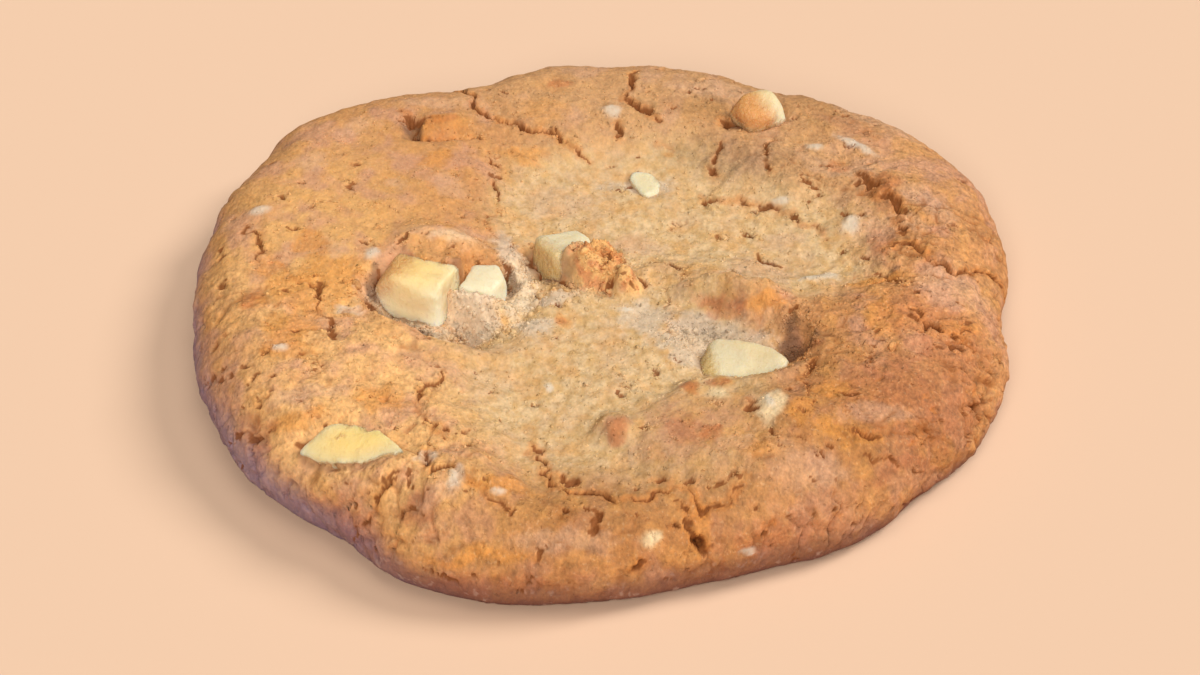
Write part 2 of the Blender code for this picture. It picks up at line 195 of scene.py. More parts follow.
def mound(u, v, place, edge):
    """1 in the middle of an ellipse, a half on its line and 0 outside it."""
    middle_u, middle_v, half_length, half_width, turn = place
    angle = math.radians(turn)
    du, dv = u - middle_u, v - middle_v
    along = (du * math.cos(angle) + dv * math.sin(angle)) / half_length
    across = (dv * math.cos(angle) - du * math.sin(angle)) / half_width
    return 0.5 ** (np.hypot(along, across) ** edge)


def sunk_middle(u, v):
    """1 where the middle sank, 0 on the plateau round it."""
    return np.maximum.reduce([mound(u, v, part, SUNK_EDGE) for part in SUNK_PARTS])


print(len(SWELLS), "swells and hollows, and a middle sunk by", SUNK_DEPTH, "mm")

# %% [markdown]
# ## Random unevenness that is the same every time
#
# Noise is a table of random numbers with smooth steps between them. Blender has its own, but a short
# table of one's own works on all points at once and gives the same cookie in every run. The flat
# kind follows the sheet. The solid kind is looked up in space, so it has no seams at the rim.

# %% Noise on the sheet and noise in space
TABLE = 64


def ease(share):
    """A smooth step from 0 to 1."""
    share = np.clip(share, 0, 1)
    return share * share * (3 - 2 * share)


def uneven(u, v, size, seed):
    """A smooth random field on the sheet from -1 to 1, with lumps of about the given size."""
    table = np.random.default_rng(seed).uniform(-1, 1, (TABLE, TABLE))
    column, row = np.floor(u / size).astype(int), np.floor(v / size).astype(int)
    right, up = ease(u / size - column), ease(v / size - row)
    corners = [[table[(row + j) % TABLE, (column + i) % TABLE] for i in (0, 1)] for j in (0, 1)]
    lower = corners[0][0] * (1 - right) + corners[0][1] * right
    upper = corners[1][0] * (1 - right) + corners[1][1] * right
    return lower * (1 - up) + upper * up


def lumpy(points, size, seed):
    """The same in space."""
    table = np.random.default_rng(seed).uniform(-1, 1, (TABLE, TABLE, TABLE))
    place = points / size + 1000
    cell = np.floor(place).astype(int)
    share = ease(place - cell)
    total = np.zeros(len(points))
    for corner in np.ndindex(2, 2, 2):
        weight = np.prod(np.where(corner, share, 1 - share), axis=1)
        total += weight * table[tuple(((cell + corner) % TABLE).T)]
    return total


def crumbs(points, size, seed):
    """How far each point is from the border between two scattered crumbs, as a share of their size."""
    draw = np.random.default_rng(seed).uniform(0, 1, (TABLE, TABLE, TABLE, 3))
    place = points / size + 1000
    cell = np.floor(place).astype(int)
    nearest = np.full(len(points), 9.0)
    second = nearest.copy()
    for step in np.ndindex(3, 3, 3):
        other = cell + step - 1
        centre = other + draw[tuple((other % TABLE).T)]
        distance = np.linalg.norm(place - centre, axis=1)
        second = np.minimum(second, np.maximum(nearest, distance))
        nearest = np.minimum(nearest, distance)
    return second - nearest


print("noise at three places:", np.round(lumpy(np.eye(3) / 2, 1.0, 1), 2))

# %% [markdown]
# ## Cracks
#
# A crack is a path that wanders. Each stretch is halved a few times, and each new point steps
# sideways by chance, as a tear does. Its section is a wide soft dip with a narrow slit in it. One
# side may lie higher, because the skin on it lifted while the dough spread. The large cracks run where
# those of the solid do. The small ones only show here.

# %% Cracks: path on the sheet, width of the dip, depth, lift of the left side, half the opening
CRACKS = [
    ([(-18, 41), (-15.1, 33.5), (-11, 28), (-4.9, 24.8), (-1.3, 22.4)], 1.2, 1.5, 0.25, 0.3),
    ([(-22.8, 29.4), (-21.6, 27.6), (-21.2, 25.6), (-19.6, 24.9), (-16.6, 25.1)], 1.2, 1.6, 0, 0.42),
    ([(3.8, 38), (3, 32), (6.5, 27.8)], 1.3, 1.6, 0.3, 0.4),
    ([(2.2, 27.8), (2.2, 25.6)], 1.4, 1.3, 0, 0.5),
    ([(13.3, 24.6), (12.7, 19.2)], 1.1, 1.3, 0, 0.38),
    ([(19.1, 24), (18.7, 18.6)], 1.1, 1.2, 0.3, 0.28),
    ([(11, 16.2), (11.4, 14.6), (17.3, 13.2), (23.8, 9.8), (24.3, 7.6)], 1.1, 1.3, 0.4, 0.27),
    ([(28.3, 17.4), (30.4, 12.5), (32.7, 5.8)], 1.3, 1.8, 0.6, 0.42),
    ([(30.3, 4), (35.5, 1.1), (38.8, 0.7), (41.5, 2.3), (47, 2.6)], 1.4, 1.7, 0, 0.36),
    ([(-7.3, -28), (-5.8, -32), (-3.5, -35), (5.6, -34.9), (13.5, -34.6)], 1.4, 1.6, 0, 0.34),
    ([(-16.6, -17), (-17.8, -24.7), (-15.7, -28.3)], 1.1, 1.3, 0, 0.36),
    ([(-17.8, -30.2), (-16.7, -34), (-9.4, -38.3)], 1.2, 1.3, 0.3, 0.32),
    ([(7.1, -36.2), (8.5, -39.5), (11.4, -43)], 1.2, 1.3, 0, 0.32),
    ([(-19.9, -33.2), (-22.6, -36.5), (-27.3, -39.4)], 1.2, 1.3, 0, 0.34),
    ([(-38.3, 8.2), (-33.5, -0.8), (-28.4, -9.8)], 1.1, 1.1, 0, 0.28),
    ([(32.3, -7.4), (35.3, -11.3), (38, -12.8)], 1.2, 1.3, 0, 0.34),
    ([(20.8, -13.5), (20.9, -21)], 1.3, 1.4, 0, 0.32),
    ([(-12.6, 22.4), (-10.6, 19), (-11.7, 13.5), (-11.4, 6.8)], 1.0, 1.0, 0, 0.2),
]
CRACK_SEED = 5
CRACK_STRAY = 0.13  # how far a new point steps sideways, as a share of its stretch
JAG_STRAY = 0.2  # the same for the short stretches
LIFT_REACH = 6.0  # how far from the crack the lifted side comes down again

# Small cracks and holes: the path, half the opening, and the depth.
SMALL_CRACKS = [
    ([(-23.9, -0.4), (-23.9, -1.8), (-23.6, -2.8)], 0.5, 0.9),
    ([(-27.0, -8.4), (-25.5, -7.4), (-24.6, -4.9), (-22.5, -5.5), (-17.2, -6.8)], 0.5, 0.7),
    ([(-10.6, 3.0), (-10.3, 1.8), (-10.2, 0.2)], 0.45, 0.9),
    ([(-7.6, 6.5), (-7.2, 3.3), (-5.5, 0.7), (-3.1, -0.9)], 0.55, 0.9),
    ([(0.2, -0.8), (1.2, -1.3), (2.4, -1.3)], 0.35, 0.5),
    ([(-22.2, 28.6), (-21.8, 27.3), (-20.6, 27.3), (-18.2, 26.6)], 0.6, 0.8),
    ([(6.3, 25), (7.9, 23.7)], 0.5, 0.7),
    ([(13.6, 27.9), (15.2, 27.6)], 1.0, 1.2),
    ([(22.2, 17.8), (23.9, 16.2)], 0.35, 0.6),
    ([(13.0, 9.2), (15.3, 9.7), (17.0, 8.9)], 0.3, 0.4),
    ([(16.9, 5.7), (19.0, 3.1)], 0.3, 0.5),
    ([(19.6, -7.6), (19.6, -6.8), (20.6, -6.0)], 0.4, 0.8),
    ([(6.6, -1.4), (7.1, -3.3), (7.4, -5.4)], 0.3, 0.5),
    ([(5.5, 3.0), (7.3, 2.5), (9.0, 1.5)], 0.3, 0.5),
    ([(26.2, 11.4), (26.5, 10.6)], 0.35, 0.6),
    ([(26.0, 5.4), (26.0, 4.4)], 0.3, 0.6),
    ([(32.2, -8.4), (33.2, -11.0), (35.1, -10.3)], 0.45, 0.7),
    ([(28.7, -11.0), (28.9, -12.9)], 0.4, 0.6),
    ([(30.0, -0.2), (31.0, -2.6)], 0.35, 0.5),
    ([(-34.7, -14.4), (-34.3, -14.8)], 0.45, 0.7),
    ([(-36.6, -15.8), (-35.6, -16.4)], 0.3, 0.4),
    ([(-40.2, -15.9), (-39.0, -16.4)], 0.35, 0.5),
    ([(-34.6, -20.9), (-33.2, -21.0)], 0.4, 0.5),
    ([(-38.5, -15.9), (-37.7, -16.6)], 0.3, 0.4),
    ([(-16.1, -26.2), (-15.6, -26.8)], 0.6, 0.9),
    ([(-7.0, -27.1), (-6.2, -28.9)], 0.7, 1.0),
    ([(-4.6, -32.2), (-3.6, -33.4), (-2.5, -34.0)], 0.6, 0.8),
    ([(-11.6, -35.1), (-11.1, -35.6)], 0.4, 0.6),
    ([(-18.8, -37.2), (-17.4, -38.2)], 0.3, 0.5),
    ([(-17.2, -39.8), (-15.1, -40.1)], 0.35, 0.6),
    ([(-30.6, -27.3), (-29.7, -27.6), (-28.7, -27.2)], 0.5, 0.8),
    ([(-27.0, -30.8), (-25.8, -31.3)], 0.4, 0.6),
    ([(-28.4, -25.5), (-27.8, -25.5)], 0.4, 0.5),
    ([(-0.6, -38.0), (-0.9, -39.1), (-1.2, -40.6)], 0.45, 0.8),
    ([(-12.2, -41.4), (-11.6, -42.5)], 0.3, 0.5),
    ([(-11.0, -43.1), (-11.0, -44.2)], 0.3, 0.5),
    ([(-38.6, -23.3), (-36.4, -24.7), (-35.0, -26.3)], 0.5, 0.7),
    ([(38.3, -17.5), (38.8, -19.3), (40.9, -20.2)], 0.45, 0.8),
    ([(35.6, -12.7), (36.7, -13.5)], 0.4, 0.7),
    ([(36.4, -15.9), (36.9, -16.2)], 0.4, 0.6),
    ([(24.9, -27.0), (26.0, -27.4), (27.3, -27.3)], 0.5, 0.9),
    ([(25.8, -29.7), (27.6, -29.4), (29.4, -29.4)], 0.35, 0.6),
    ([(31.8, -28.7), (33.8, -28.7)], 0.3, 0.5),
    ([(23.4, -35.7), (24.1, -36.3)], 0.5, 0.8),
    ([(8.6, -38.5), (9.2, -40.7), (10.4, -42.3)], 0.7, 1.0),
    ([(3.3, -44.1), (4.2, -43.1)], 0.8, 1.1),
    ([(4.9, -33.2), (6.2, -33.5), (6.9, -33.7)], 0.6, 0.8),
    ([(7.3, -34.0), (8.7, -34.0), (9.2, -34.0)], 0.3, 0.5),
    ([(10.5, -35.0), (11.9, -34.5), (13.4, -33.8)], 0.4, 0.6),
    ([(14.6, -22.6), (15.6, -24.7)], 0.5, 0.7),
    ([(16.7, -27.6), (17.4, -28.9)], 0.35, 0.5),
    ([(20.9, -16.6), (21.0, -18.3), (20.7, -22.6)], 0.4, 0.6),
    ([(23.8, -21.4), (24.7, -22.2), (25.8, -22.0)], 0.45, 0.6),
    ([(18.6, -37.0), (20.1, -36.4)], 0.3, 0.5),
    ([(20.9, -36.4), (21.8, -37.4)], 0.35, 0.6),
    ([(15.8, -39.3), (16.6, -39.0)], 0.5, 0.7),
    ([(32.7, -34.5), (34.8, -32.2), (36.9, -29.7)], 0.5, 0.8),
    ([(29.7, -37.8), (31.1, -36.6)], 0.4, 0.7),
    ([(21.2, -42.3), (22.3, -42.0)], 0.4, 0.6),
    ([(-32.4, -11.3), (-31.8, -11.8)], 0.5, 0.8),
    ([(-28.4, -8.9), (-27.8, -12.6)], 0.4, 0.6),
    ([(-39.3, -10.3), (-38.3, -10.6)], 0.3, 0.5),
    ([(-35.3, -9.7), (-35.0, -10.8)], 0.3, 0.5),
    ([(-27.9, 15.6), (-27.1, 13.8)], 0.3, 0.4),
    ([(-19.4, 8.7), (-18.5, 8.2)], 0.3, 0.4),
    ([(-21.8, 3.6), (-21.0, 4.7)], 0.35, 0.5),
    ([(-32.1, 11.1), (-31.6, 10.0)], 0.25, 0.4),
    ([(-4.1, -37.8), (-3.6, -38.6)], 0.35, 0.5),
    ([(-6.6, -41.8), (-6.3, -43.3)], 0.35, 0.6),
    ([(-13.4, -44.7), (-13.0, -45.7)], 0.3, 0.5),
    ([(-16.9, -44.9), (-15.0, -45.4)], 0.35, 0.5),
    ([(27.6, 4.2), (28.6, 2.6)], 0.3, 0.4),
    ([(0.9, 2.6), (0.5, 0.6), (0.7, -1.8)], 0.4, 0.8),
    ([(3.9, -0.2), (4.4, -1.0)], 0.4, 0.8),
]


def wander(path, rounds, seed, stray=CRACK_STRAY):
    """The path with each stretch halved a few times, and each new point moved sideways."""
    draw = np.random.default_rng(seed)
    points = np.array(path, float)
    for _ in range(rounds):
        start, end = points[:-1], points[1:]
        sideways = np.stack([start[:, 1] - end[:, 1], end[:, 0] - start[:, 0]], axis=1)
        halfway = (start + end) / 2 + sideways * draw.normal(0, stray, (len(start), 1))
        points = np.insert(points, np.arange(1, len(points)), halfway, axis=0)
    return points


def beside(u, v, path, reach):
    """Which points lie near the path: their distance, side (1 is left) and place from 0 to 1."""
    lowest, highest = path.min(axis=0) - reach, path.max(axis=0) + reach
    near = np.flatnonzero((u > lowest[0]) & (u < highest[0]) & (v > lowest[1]) & (v < highest[1]))
    u, v = u[near], v[near]
    nearest, side, along = np.full(len(u), np.inf), np.zeros(len(u)), np.zeros(len(u))
    stretches = len(path) - 1
    for number, ((u0, v0), (u1, v1)) in enumerate(zip(path[:-1], path[1:])):
        du, dv = u1 - u0, v1 - v0
        share = np.clip(((u - u0) * du + (v - v0) * dv) / (du * du + dv * dv), 0, 1)
        distance = np.hypot(u - u0 - share * du, v - v0 - share * dv)
        closer = distance < nearest
        nearest[closer] = distance[closer]
        side[closer] = np.sign(du * (v - v0) - dv * (u - u0))[closer]
        along[closer] = (number + share[closer]) / stretches
    return near, nearest, side, along


# %% [markdown]
# Besides the cracks that one could point at, the skin has hundreds of nicks too small to place one
# by one. They are drawn at random, more of them on the browned rim than in the sunk middle or on the
# smooth slab at the back left. The few places that are whole on the real cookie keep none.

# %% Hundreds of nicks
NICKS = 330
NICK_SEED = 21
FREE_OF_SOLE = 4  # millimetres from the sole's edge within which no nick starts
SPARED_MIDDLE = 0.55  # chance that a nick in the sunk middle is skipped
SPARED_BACK = 0.5  # the same on the slab at the back left
NICK_LENGTH = (2.0, 0.42)  # shape and scale of a gamma draw
NICK_TURN = (0.15, 0.7)  # mean and spread, in radians
NICK_OPENING = (0.25, 0.45)
NICK_DEPTH = (0.25, 0.6)
NICK_STRAY = 0.25
# Places that stay whole: u, v and radius.
WHOLE_PLACES = [
    (16.9, -24.0, 2.4), (-14.3, -34.6, 2.0), (-10.2, -36.4, 1.5), (23.4, 0.4, 2.5), (13.6, -3.0, 6.0),
]


def on_whole_place(point):
    """Whether a point of the sheet lies where the real cookie is whole."""
    return any(math.hypot(point[0] - u, point[1] - v) < radius for u, v, radius in WHOLE_PLACES)


def nicks():
    """Short random tears: the path, half the width and the depth."""
    draw = np.random.default_rng(NICK_SEED)
    found = []
    while len(found) < NICKS:
        u, v = draw.uniform(-50, 50, 2)
        bearing = np.array([math.atan2(v, u)])
        if sheet_edge(bearing)[0] - math.hypot(u, v) < FREE_OF_SOLE:
            continue
        sunk = sunk_middle(np.array([u]), np.array([v]))[0]
        if draw.uniform() < SPARED_MIDDLE * sunk or draw.uniform() < SPARED_BACK * (v > 8) * (u < 0):
            continue
        length, angle = draw.gamma(*NICK_LENGTH), draw.normal(*NICK_TURN)
        step = np.array([math.cos(angle), math.sin(angle)]) * length / 2
        middle = np.array([u, v])
        path = wander([middle - step, middle, middle + step], 1, 900 + len(found), NICK_STRAY)
        found.append((path, draw.uniform(*NICK_OPENING), draw.uniform(*NICK_DEPTH)))
    return [nick for nick in found if not on_whole_place(nick[0][1])]


# %% All cracks in one list
# A slit looks wider and deeper in the light than it measures, so each is carved with a share of its
# listed size.
OPENING_SHARE = 0.72
LARGE_DEPTH_SHARE = 0.6
SMALL_DEPTH_SHARE = 0.95
SMALL_DIP = 2.2  # width of the dip round a small crack, as a share of half its opening


def all_cracks():
    """Every crack with its jagged path: path, dip width, depth, lift, half the opening, seed."""
    for seed, (path, width, depth, lift, opening) in enumerate(CRACKS):
        path = wander(wander(path, 2, CRACK_SEED + seed), 2, 70 + seed, JAG_STRAY)
        yield path, width, LARGE_DEPTH_SHARE * depth, lift, OPENING_SHARE * opening, seed
    for seed, (path, opening, depth) in enumerate(SMALL_CRACKS + nicks()):
        path = wander(path, 2, 200 + seed, JAG_STRAY)
        yield path, SMALL_DIP * opening, SMALL_DEPTH_SHARE * depth, 0, OPENING_SHARE * opening, seed


print("there are", sum(1 for _ in all_cracks()), "cracks and nicks,", len(CRACKS), "of them large")


def close_to_crack(u, v, reach):
    """Which points lie within reach of the slit of any crack."""
    found = np.zeros(len(u), bool)
    for path, width, depth, lift, opening, seed in all_cracks():
        near, away, side, along = beside(u, v, path, reach + opening)
        found[near] |= away < reach + opening
    return found


# %% Carve them
DIP_SHARE, SLIT_SHARE = 0.09, 0.9  # shares of the depth that the soft dip and the slit take
SLIT_POWER = 0.7  # under 1, the slit has steep walls and a narrow floor
LIP = 0.25  # millimetres over which the lifted side steps up
HALO = 1.7  # how much narrower the torn edge is than the dip


def hill(away, width):
    """1 on a line, and softly down to 0 beside it."""
    return np.exp(-((away / width) ** 2))


def carve(u, v, jag_u, jag_v):
    """The depth of all cracks, how much dark colour and painted shade they put in the skin, and how
    torn they make it.
    """
    rise, crack_dark_and_shade, torn = np.zeros(len(u)), np.zeros(len(u)), np.zeros(len(u))
    for path, width, depth, lift, opening, seed in all_cracks():
        near, away, side, along = beside(u + jag_u, v + jag_v, path, LIFT_REACH * 2 if lift else 2)
        ends = np.clip(np.minimum(along, 1 - along) * 5, 0.2, 1)
        vary = 0.7 + 0.9 * uneven(along * len(path) / 2, along * 0, 1.5, 300 + seed)
        vary = np.clip(vary, 0.2, 1.7)
        slit = np.clip(1 - away / (opening * vary * (0.5 + 0.5 * ends) + 0.05), 0, 1)
        section = DIP_SHARE * hill(away, width) + SLIT_SHARE * slit**SLIT_POWER * vary
        rise[near] -= depth * ends * section
        if lift:
            step = 0.5 + 0.5 * np.tanh(side * away / LIP)
            rise[near] += lift * ends * step * hill(away, LIFT_REACH)
        crack_dark_and_shade[near] = np.maximum(crack_dark_and_shade[near], ease(slit * 3) * np.clip(depth * vary * 2, 0, 1))
        torn[near] = np.maximum(torn[near], np.clip(depth, 0.3, 1) * hill(away, width / HALO))
    return rise, crack_dark_and_shade, torn


# %% [markdown]
# ## Seats and stuck-in bits
#
# Each chunk of chocolate lies a little sunk in the dough, in a hollow just larger than itself. Its
# place is read from the solid, so that dough and chunk can't drift apart. Small bits of chocolate
# are part of the skin: a low bump here, and a patch of chocolate colour later.
#
# Dough also rose against some chunks, sank away beside others, and laps over the edges of four of
# them. A lap is worked out from the chunk itself: rays cast straight down find the height of its
# upper side, and the skin is raised to just above it.

# %% Seats of the chunks
# Half length, half width, turn and depth of each seat.
SEATS = {
    "chunk_large": (4.55, 4.6, -22, 0.9),
    "chunk_beside": (3.4, 3.1, 6, 1.9),
    "chunk_edge": (6.4, 3.4, -3, 0.5),
    "chunk_pocket": (5.4, 3.6, -17, 0.9),
    "chunk_middle": (3.8, 4.0, 32, 0.6),
    "chunk_rim": (3.3, 3.2, 35, 0.7),
    "chunk_far": (2.3, 3.2, 28, 0.3),
}
SEAT_EDGE = 8

# Small bits of chocolate in the skin: u, v, half length, half width, turn, rise.
BITS = [
    (27.2, 9.2, 1.2, 1.0, 60, 0.5),
    (23.4, 0.4, 2.2, 0.8, 8, 0.3),
    (16.9, -24.0, 0.7, 1.2, 8, 0.3),
    (0.7, 29.6, 1.3, 1.0, 0, 0.4),
    (-37.2, 10.0, 1.1, 0.9, 0, 0.2),
    (23.6, 22.6, 0.9, 1.0, 0, 0.2),
    (28.4, 23.4, 3.0, 0.6, -42, 0.2),
    (19.7, 14.2, 1.2, 0.6, 0, 0.2),
    (2.6, -4.6, 0.8, 0.5, 0, 0.2),
    (-32.9, -14.5, 0.75, 0.6, 0, 0.4),
    (-14.3, -34.6, 0.8, 1.1, 0, 0.2),
    (-10.2, -36.4, 0.7, 0.4, 0, 0.2),
    (-5.8, -18.2, 0.6, 0.8, 0, 0.1),
    (-24.6, 1.6, 0.8, 1.3, 20, 0.3),
    (15.0, -41.2, 1.0, 0.4, 10, 0.2),
]


def seat_places():
    """Each seat as an ellipse on the sheet, and its depth."""
    for name, (half_length, half_width, turn, depth) in SEATS.items():
        lowest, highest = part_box(name)
        middle = (lowest + highest) / 2 / MM
        yield (middle.x, middle.y, half_length, half_width, turn), depth


print(len(SEATS), "seats and", len(BITS), "small bits")

# %% Dough that lies against the chunks and over them
# In the same form as the swells.
BESIDE_CHUNKS = [
    (20.2, -11.0, 1.6, 2.3, 20, -2.2, 8),  # dark hole behind the right end of the pocket's chunk
    (-24.4, -32.9, 5.0, 1.7, -4, 0.8, 4),  # edge of dough in front of the chunk near the edge
    (-28.3, -25.6, 2.2, 1.6, 30, -0.7, 4),  # dip behind the left half of that chunk
    (-12.8, -4.6, 2.8, 1.4, 0, 1.0, 4),  # rubble in front of the chunk beside the large one
    (2.4, -0.6, 1.5, 1.3, 0, 1.3, 4),  # crumb beside the chunk in the middle
]
# The chunk, u, v, half length, half width, turn, and how thick the dough lies on it.
LAPS = [
    ("chunk_large", -17.2, 2.6, 3.9, 2.5, -16, 0.5),
    ("chunk_middle", -0.9, 1.6, 2.9, 3.5, 10, 0.6),
    ("chunk_edge", -26.0, -33.2, 8.0, 2.3, -9, 0.2),
    ("chunk_pocket", 17.9, -19.2, 4.4, 2.4, 24, 0.35),
]
ABOVE_ALL = 30  # height in millimetres from which the rays are cast


def chunk_top(name, x, y):
    """Height of a chunk's upper side, and the floor's where the chunk isn't."""
    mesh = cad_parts[name].data
    place = [vertex.co / MM for vertex in mesh.vertices]
    tree = BVHTree.FromPolygons(place, [tuple(face.vertices) for face in mesh.polygons])
    down = Vector((0, 0, -1))
    hits = [tree.ray_cast(Vector((px, py, ABOVE_ALL)), down)[0] for px, py in zip(x, y)]
    return np.array([hit.z if hit else 0.0 for hit in hits])


def lap_over(u, v, points, fray, rise):
    """Raise the skin over the edges of the chunks, where it lies lower than they do."""
    for name, *place, thick in LAPS:
        share = mound(u + 0.6 * fray[0], v + 0.6 * fray[1], place, 4)
        near = np.flatnonzero(share > 0.02)
        cover = chunk_top(name, *points[near, :2].T) + thick * (1 + 0.5 * lumpy(points[near], 0.9, 52))
        higher = np.maximum(cover - points[near, 2] - rise[near], 0)
        rise[near] += higher * ease(2 * share[near])


print(len(LAPS), "laps of dough reach over the chunks")

# %% [markdown]
# ## All relief together
#
# The small lumps differ from place to place. The rim is cobbled and crumbly, the left plateau is
# smooth, and the sunk middle is mealy. So each kind of lump is multiplied by a soft mask. On the near
# rim the crust broke into small tiles with grooves between them, and beside the chunks the ground is
# torn open to its crumbly inside. The places of all this are frayed by noise, so that no ellipse shows.

# %% The ground, and the chunks' seats in it
UNEVENNESS = [(9.0, 0.35, 11), (4.0, 0.22, 12)]  # size of the lumps, height and seed


def ground(u, v, fray):
    """The large relief with its seats and bits, and the masks that come with them."""
    sunk = sunk_middle(u + 1.6 * fray[0], v + 1.6 * fray[1])
    rise = -SUNK_DEPTH * sunk
    for *place, height, edge in SWELLS + BESIDE_CHUNKS:
        rise += height * mound(u + fray[0], v + fray[1], place, edge)
    for size, height, seed in UNEVENNESS:
        rise += height * uneven(u, v, size, seed)
    contact_shadow, chip = np.zeros(len(u)), np.zeros(len(u))
    for place, depth in seat_places():
        rise -= depth * mound(u, v, place, SEAT_EDGE)
        # Painted contact shadow: a ring round each seat, darker on its near left side, away from the
        # key light.
        near_left = ease(0.5 - 0.35 * (u - place[0]) / place[2] - 0.35 * (v - place[1]) / place[3])
        contact_shadow = np.maximum(contact_shadow, mound(u, v, place, 12) * near_left)
    for *place, height in BITS:
        bit = mound(u + 0.8 * fray[0], v + 0.8 * fray[1], place, 3)
        rise += height * bit
        chip = np.maximum(chip, bit)
    return rise, {"chip": chip, "sunk": sunk, "contact_shadow": contact_shadow}


# %% Crust, tiles and crumbly ground
SMOOTH_LEFT = (-26, 12, 13, 16, 0)
CALM_BACK = (-2, 31, 24, 11, 0)
ROUGH_RIGHT = (36, -8, 10, 24, 0)
CRUST_BITS = (-0.8, 1.8, 4.2, 4.2, 0)  # browned crumb beside the chunk in the middle
TILED = [(-38, -26, 6, 9, 45), (-24, -39, 9, 4, -20), (22, -38, 9, 3.5, 18), (38, -14, 5, 9, 0)]
CRUMBLY = [
    (-13, -4.5, 5.5, 4.5, -20), (-20, -6, 6, 2.4, -25), (-9, 0, 2.6, 5.5, -8), (-3.5, -1.4, 3, 1.6, 0),
    (-0.8, 2.8, 3.4, 2.8, 15), (9.5, -9.5, 4.5, 2.6, -8), (20.4, -10.4, 2.2, 3.6, 20),
]
# Height, size and seed of the lumps that each kind of ground wears.
COBBLES = [(0.22, 2.1, 46), (0.16, 0.9, 47)]
BROWNED_LUMPS = [(0.4, 1.7, 53), (0.2, 0.8, 54)]
CRUMBLY_LUMPS = [(0.28, 1.5, 48), (0.16, 0.75, 49)]
TILE_SIZE, GROOVE_WIDTH = 3.4, 0.12  # the second is a share of the first
GROOVE_DEPTH, TILED_GROOVE_DEPTH, HOLE_DEPTH = 0.25, 0.4, 0.32
# GROOVE_DARK gives the grooves dark colour and painted shade.
GROOVE_DARK, GROOVE_TORN, HOLE_TORN = 0.55, 0.6, 0.8  # how dark and torn these make the skin


def layered(points, layers):
    """Lumps of several sizes, one on the other."""
    return sum(height * lumpy(points, size, seed) for height, size, seed in layers)


def crust_relief(u, v, points, fray, sunk):
    """The small relief of the crust, and how cobbled, grooved, holed and crumbly it is."""
    cobbled = 1 - 0.6 * mound(u, v, SMOOTH_LEFT, 4) - 0.4 * mound(u, v, CALM_BACK, 4) - 0.5 * sunk
    cobbled = np.clip(cobbled + 0.4 * mound(u, v, ROUGH_RIGHT, 4), 0.3, 1.4)
    shifted = points + np.stack([lumpy(points, 1.5, seed) for seed in (33, 37, 40)], axis=1) * 0.5
    patchy = ease(0.5 + 1.6 * lumpy(points, 5.0, 44))
    tiled = np.maximum.reduce([mound(u, v, place, 3) for place in TILED])
    groove = np.clip(1 - crumbs(shifted, TILE_SIZE, 34) / GROOVE_WIDTH, 0, 1)
    groove *= np.maximum(patchy, 0.9 * tiled)
    torn_out = lumpy(points, 1.3, 35) + 0.5 * lumpy(points, 0.7, 36)
    hole = ease((torn_out - 0.62) / 0.35) * ease(0.6 + 1.5 * lumpy(points, 6.0, 45))
    crumbly = [mound(u + fray[0], v + fray[1], place, 4) for place in CRUMBLY]
    crumbly = np.maximum.reduce(crumbly)
    rise = cobbled * layered(points, COBBLES) - HOLE_DEPTH * cobbled * hole
    rise -= (cobbled * GROOVE_DEPTH + tiled * TILED_GROOVE_DEPTH) * groove
    rise += mound(u, v, CRUST_BITS, 5) * layered(points, BROWNED_LUMPS)
    rise += crumbly * layered(points, CRUMBLY_LUMPS)
    return rise, cobbled, groove, hole, crumbly


print(len(TILED), "tiled and", len(CRUMBLY), "crumbly places")


# %% Relief of the whole skin
def relief(u, v, points):
    """How far the surface stands out, and the masks that the colours use."""
    fray = [0.25 * lumpy(points, 0.9, seed) + 0.6 * lumpy(points, 3.0, seed + 7) for seed in (31, 32)]
    jag = [0.16 * lumpy(points, 0.45, seed) + 0.2 * lumpy(points, 1.1, seed + 1) for seed in (41, 43)]
    rise, masks = ground(u, v, fray)
    small, cobbled, groove, hole, crumbly = crust_relief(u, v, points, fray, masks["sunk"])
    cut, crack_dark_and_shade, torn = carve(u, v, *jag)
    rise += small + cut
    lap_over(u, v, points, fray, rise)
    # Dark colour and painted shade of the cracks, and of the grooves between tiles.
    masks["crack_dark_and_shade"] = np.maximum(crack_dark_and_shade, GROOVE_DARK * cobbled * groove)
    torn = np.maximum(torn, cobbled * np.maximum(HOLE_TORN * hole, GROOVE_TORN * groove))
    masks["torn"] = np.clip(torn, 0, 1)
    masks["rough"], masks["crumbly"] = cobbled, crumbly
    return rise, masks


# %% [markdown]
# ## The fine mesh
#
# A disc could be built from rings, but rings crowd at the middle and grow coarse at the rim. A
# square grid wrapped onto the disc has cells of one size everywhere. Below it, the sole is closed
# with rings that halve their number of points on the way in, because a flat sole needs few.

# %% A square grid wrapped onto the peeled skin
GRID_CELLS = 244
EDGE_STRETCH = 0.12  # how much coarser the cells grow towards the sole


